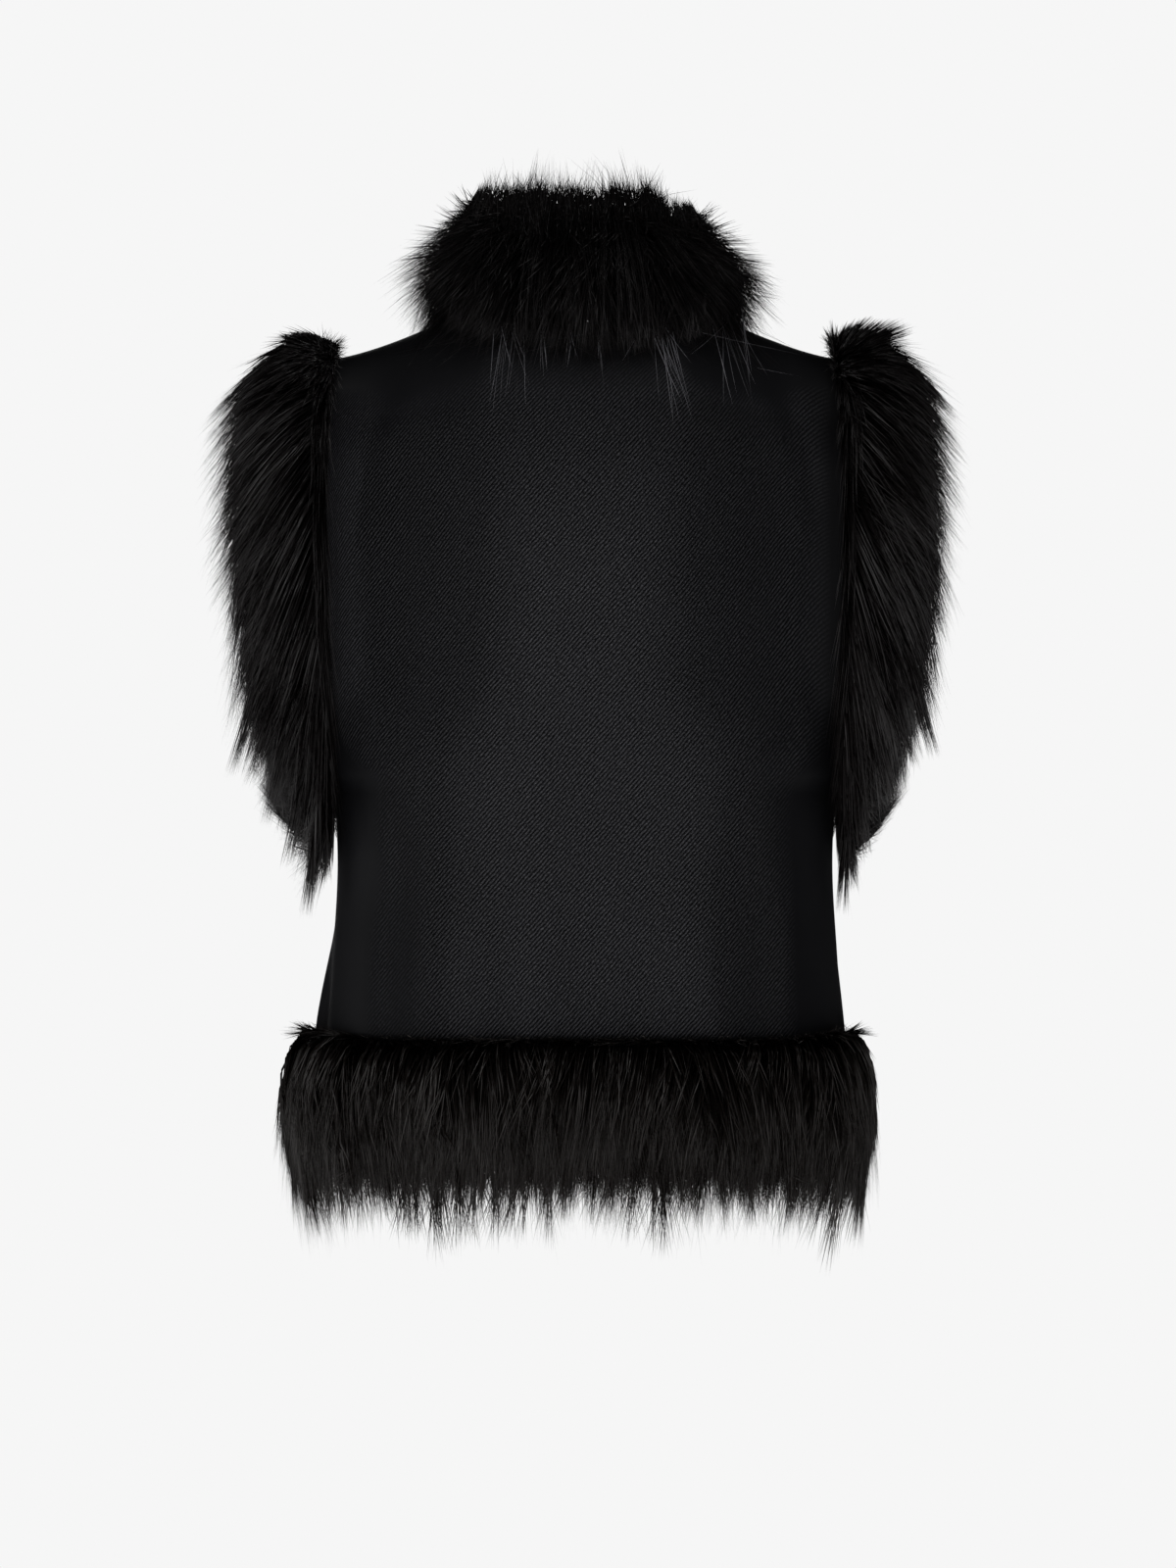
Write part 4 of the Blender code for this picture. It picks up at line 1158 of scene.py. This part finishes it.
def arm_fur(name, side, node):
    """The fur of one armhole, with the top of its cap, the dome, higher on the wearer's right."""
    line = armhole_line(161)
    normals = outward_normals(line, np.array([1.0, 0, 0]), closed=True)
    limit = arm_grid(ARM_OUTSIDE, side, line, normals)
    lining = arm_grid(ARM_INSIDE, side, line, normals)
    skin, back, body = skin_between(limit, lining, *ARM_SKIN)
    common = dict(flow=arm_flow, closed=True, trim=trim_arm(side))
    arm = partial(coat, skin, limit, **common)
    high = side == RIGHT
    parts = [
        # Underwool, long hair, the free edge, the inside, and guard hairs
        arm(2500, (0.0012, 0.0024), FINE, tufts=(24, 3), locks=(90, 8), advance=0.30,
            depth=(0.5, 1.06), over=(0, 0.010), splay=0.9),
        arm(3200, (0.0005, 0.0011), COARSE, tufts=(22, 3), locks=(70, 6), advance=0.48,
            gather=0.8, sway=0.026, lift=0.65, depth=(0.75, 1.30), over=(0.003, 0.026),
            splay=0.7, drift=(0, 0, -0.5)),
        arm(1800, (0.0006, 0.0012), COARSE, tufts=(30, 1), locks=(76, 2), advance=0.75,
            roots=(0.45, 1.0), sway=0.014, lift=0.6, depth=(0.3, 1.10), over=(0.004, 0.036),
            splay=0.4, drift=(0, 0, -0.8)),
        coat(back, lining, 600, (0.0009, 0.0017), FINE, tufts=(24, 2), locks=(64, 4),
             advance=0.6, depth=(0.3, 0.9), over=(0, 0.012), **common),
        arm(1100, (0.0003, 0.0005), COARSE, tufts=(24, 3), locks=(100, 6), advance=0.5,
            gather=0.5, sway=0.026, lift=0.9, depth=(0.9, 1.45), over=(0.006, 0.034),
            splay=0.8, drift=(0, 0, -0.3)),
        # Hair over the seam, on the shoulder, and the dome
        arm(700, (0.0004, 0.0009), FINE, tufts=(40, 1), locks=(120, 2), advance=0.03,
            roots=(0.0, 0.22), gather=0.5, depth=(0.6, 1.1), over=(0.002, 0.016), splay=0.7,
            drift=(-1.1 * side, 0, 0)),
        arm(600, (0.0004, 0.0010), FINE, tufts=(60, 1), locks=(140, 2), advance=-0.02,
            roots=(0.0, 0.30), gather=0.3, sway=0.004, depth=(0.8, 1.15), over=(0.002, 0.013),
            splay=0.5, drift=(-0.8 * side, 0, 0.1), span=(0.40, 0.60), loose=0.03),
        arm(1300, (0.0009, 0.0018), FINE, tufts=(60, 3), locks=(240, 6), advance=0.04,
            roots=(0.02, 0.50), gather=0.2, sway=0.003, depth=(0.90, 1.10),
            over=(0.007, 0.018) if high else (-0.009, -0.002), splay=0.3,
            drift=(0, 0, 0.9 if high else 0.0), span=(0.45, 0.55), loose=0.01),
        *(hanging_tuft(side, skin, line, *row) for row in TUFTS[side])]
    add_piece(name, *join(skin_body(*body, closed=True), *parts), ARM_FINISH, node)


arm_fur("arm_fur_left_coat", LEFT, "arm_fur_left")
arm_fur("arm_fur_right_coat", RIGHT, "arm_fur_right")

# %% [markdown]
# ## Floor, light and camera
# The photo was taken level, from behind the garment, with a long lens, so nothing converges. The
# background is plain and pale. A world that is pale to the camera but dim as a light keeps black
# hair black, and a soft lamp low behind the camera makes the back lighter in the middle than where
# it rounds away. A lamp at the left of the picture and one above it pick out the fur's locks, and
# the last lights the front.

# %% Stage
FLOOR_HEIGHT, FLOOR_SIDES, FLOOR_RADII = -1.25, 96, (0.02, 0.6, 1.4, 2.4)


def pale_finish():
    made, tree, shader = new_finish("white_paper", Emission_Strength=0.76, Roughness=0.9,
                                    Specular_IOR_Level=0.0)
    grain = add_node(tree, "ShaderNodeTexNoise", Scale=3.0, Detail=3.0)
    paper = ramp(tree, grain.outputs["Fac"], (0.0, linear("#f3f3f3")), (1.0, linear("#f8f8f8")))
    into(shader, Base_Color=paper, Emission_Color=paper)
    return made


turn = np.linspace(0, 2 * np.pi, FLOOR_SIDES + 1)[:-1]
disc = np.stack([np.outer(FLOOR_RADII, np.cos(turn)), np.outer(FLOOR_RADII, np.sin(turn)),
                 np.full((len(FLOOR_RADII), FLOOR_SIDES), FLOOR_HEIGHT)], axis=-1)
floor_faces = grid_faces(*disc.shape[:2], closed=True)[:, ::-1].tolist()
floor_mesh = bpy.data.meshes.new("floor")
floor_mesh.from_pydata(disc.reshape(-1, 3).tolist(), [], [*floor_faces, list(range(FLOOR_SIDES))])
floor_mesh.materials.append(pale_finish())
floor = bpy.data.objects.new("floor", floor_mesh)
bpy.context.scene.collection.objects.link(floor)

# %% World
world = bpy.data.worlds.new("studio")
bpy.context.scene.world = world
world.use_nodes = True
sky = world.node_tree
sky.nodes.clear()
seen = add_node(sky, "ShaderNodeBackground", Color=linear("#f6f6f6"), Strength=1.0)
cast = add_node(sky, "ShaderNodeBackground", Color=linear("#ffffff"), Strength=0.01)
rays = add_node(sky, "ShaderNodeLightPath")
chosen = add_node(sky, "ShaderNodeMixShader", i0=rays.outputs["Is Camera Ray"],
                  i1=cast.outputs[0], i2=seen.outputs[0])
add_node(sky, "ShaderNodeOutputWorld", Surface=chosen.outputs[0])


# %% Lamps
def add_lamp(name, place, target, size, watts):
    """A square area lamp at a place, turned to a target."""
    lamp = bpy.data.lights.new(name, "AREA")
    lamp.size, lamp.energy = size, watts
    made = bpy.data.objects.new(name, lamp)
    made.location = place
    away = Vector(place) - Vector(target)
    made.rotation_euler = away.to_track_quat("Z", "Y").to_euler()
    bpy.context.scene.collection.objects.link(made)


add_lamp("key_behind_camera", (-0.05, 3.0, -1.00), (0, 0.1, -0.45), 1.0, 16)
add_lamp("side_left", (2.6, 0.35, -0.5), (0, 0, -0.45), 1.2, 9)
add_lamp("top", (0.1, 0.8, 2.2), (0, 0, -0.2), 1.0, 9)
add_lamp("front_fill", (0.3, -3.2, 0.4), (0, 0, -0.28), 1.8, 12)

# %% Camera
CAMERA_AWAY, CAMERA_ACROSS, CAMERA_HEIGHT = 8.0, -0.0022, -0.3348
FRAME_TALL, SENSOR, CLIP_END = 1.152, 36.0, 60.0
camera_data = bpy.data.cameras.new("camera")
camera_data.sensor_width, camera_data.clip_end = SENSOR, CLIP_END
camera_data.lens = SENSOR * CAMERA_AWAY / FRAME_TALL
camera = bpy.data.objects.new("camera", camera_data)
camera.location = (CAMERA_ACROSS, CAMERA_AWAY, CAMERA_HEIGHT)
camera.rotation_euler = (np.pi / 2, 0, np.pi)
bpy.context.scene.collection.objects.link(camera)
bpy.context.scene.camera = camera
bpy.context.scene.view_settings.view_transform = "Standard"
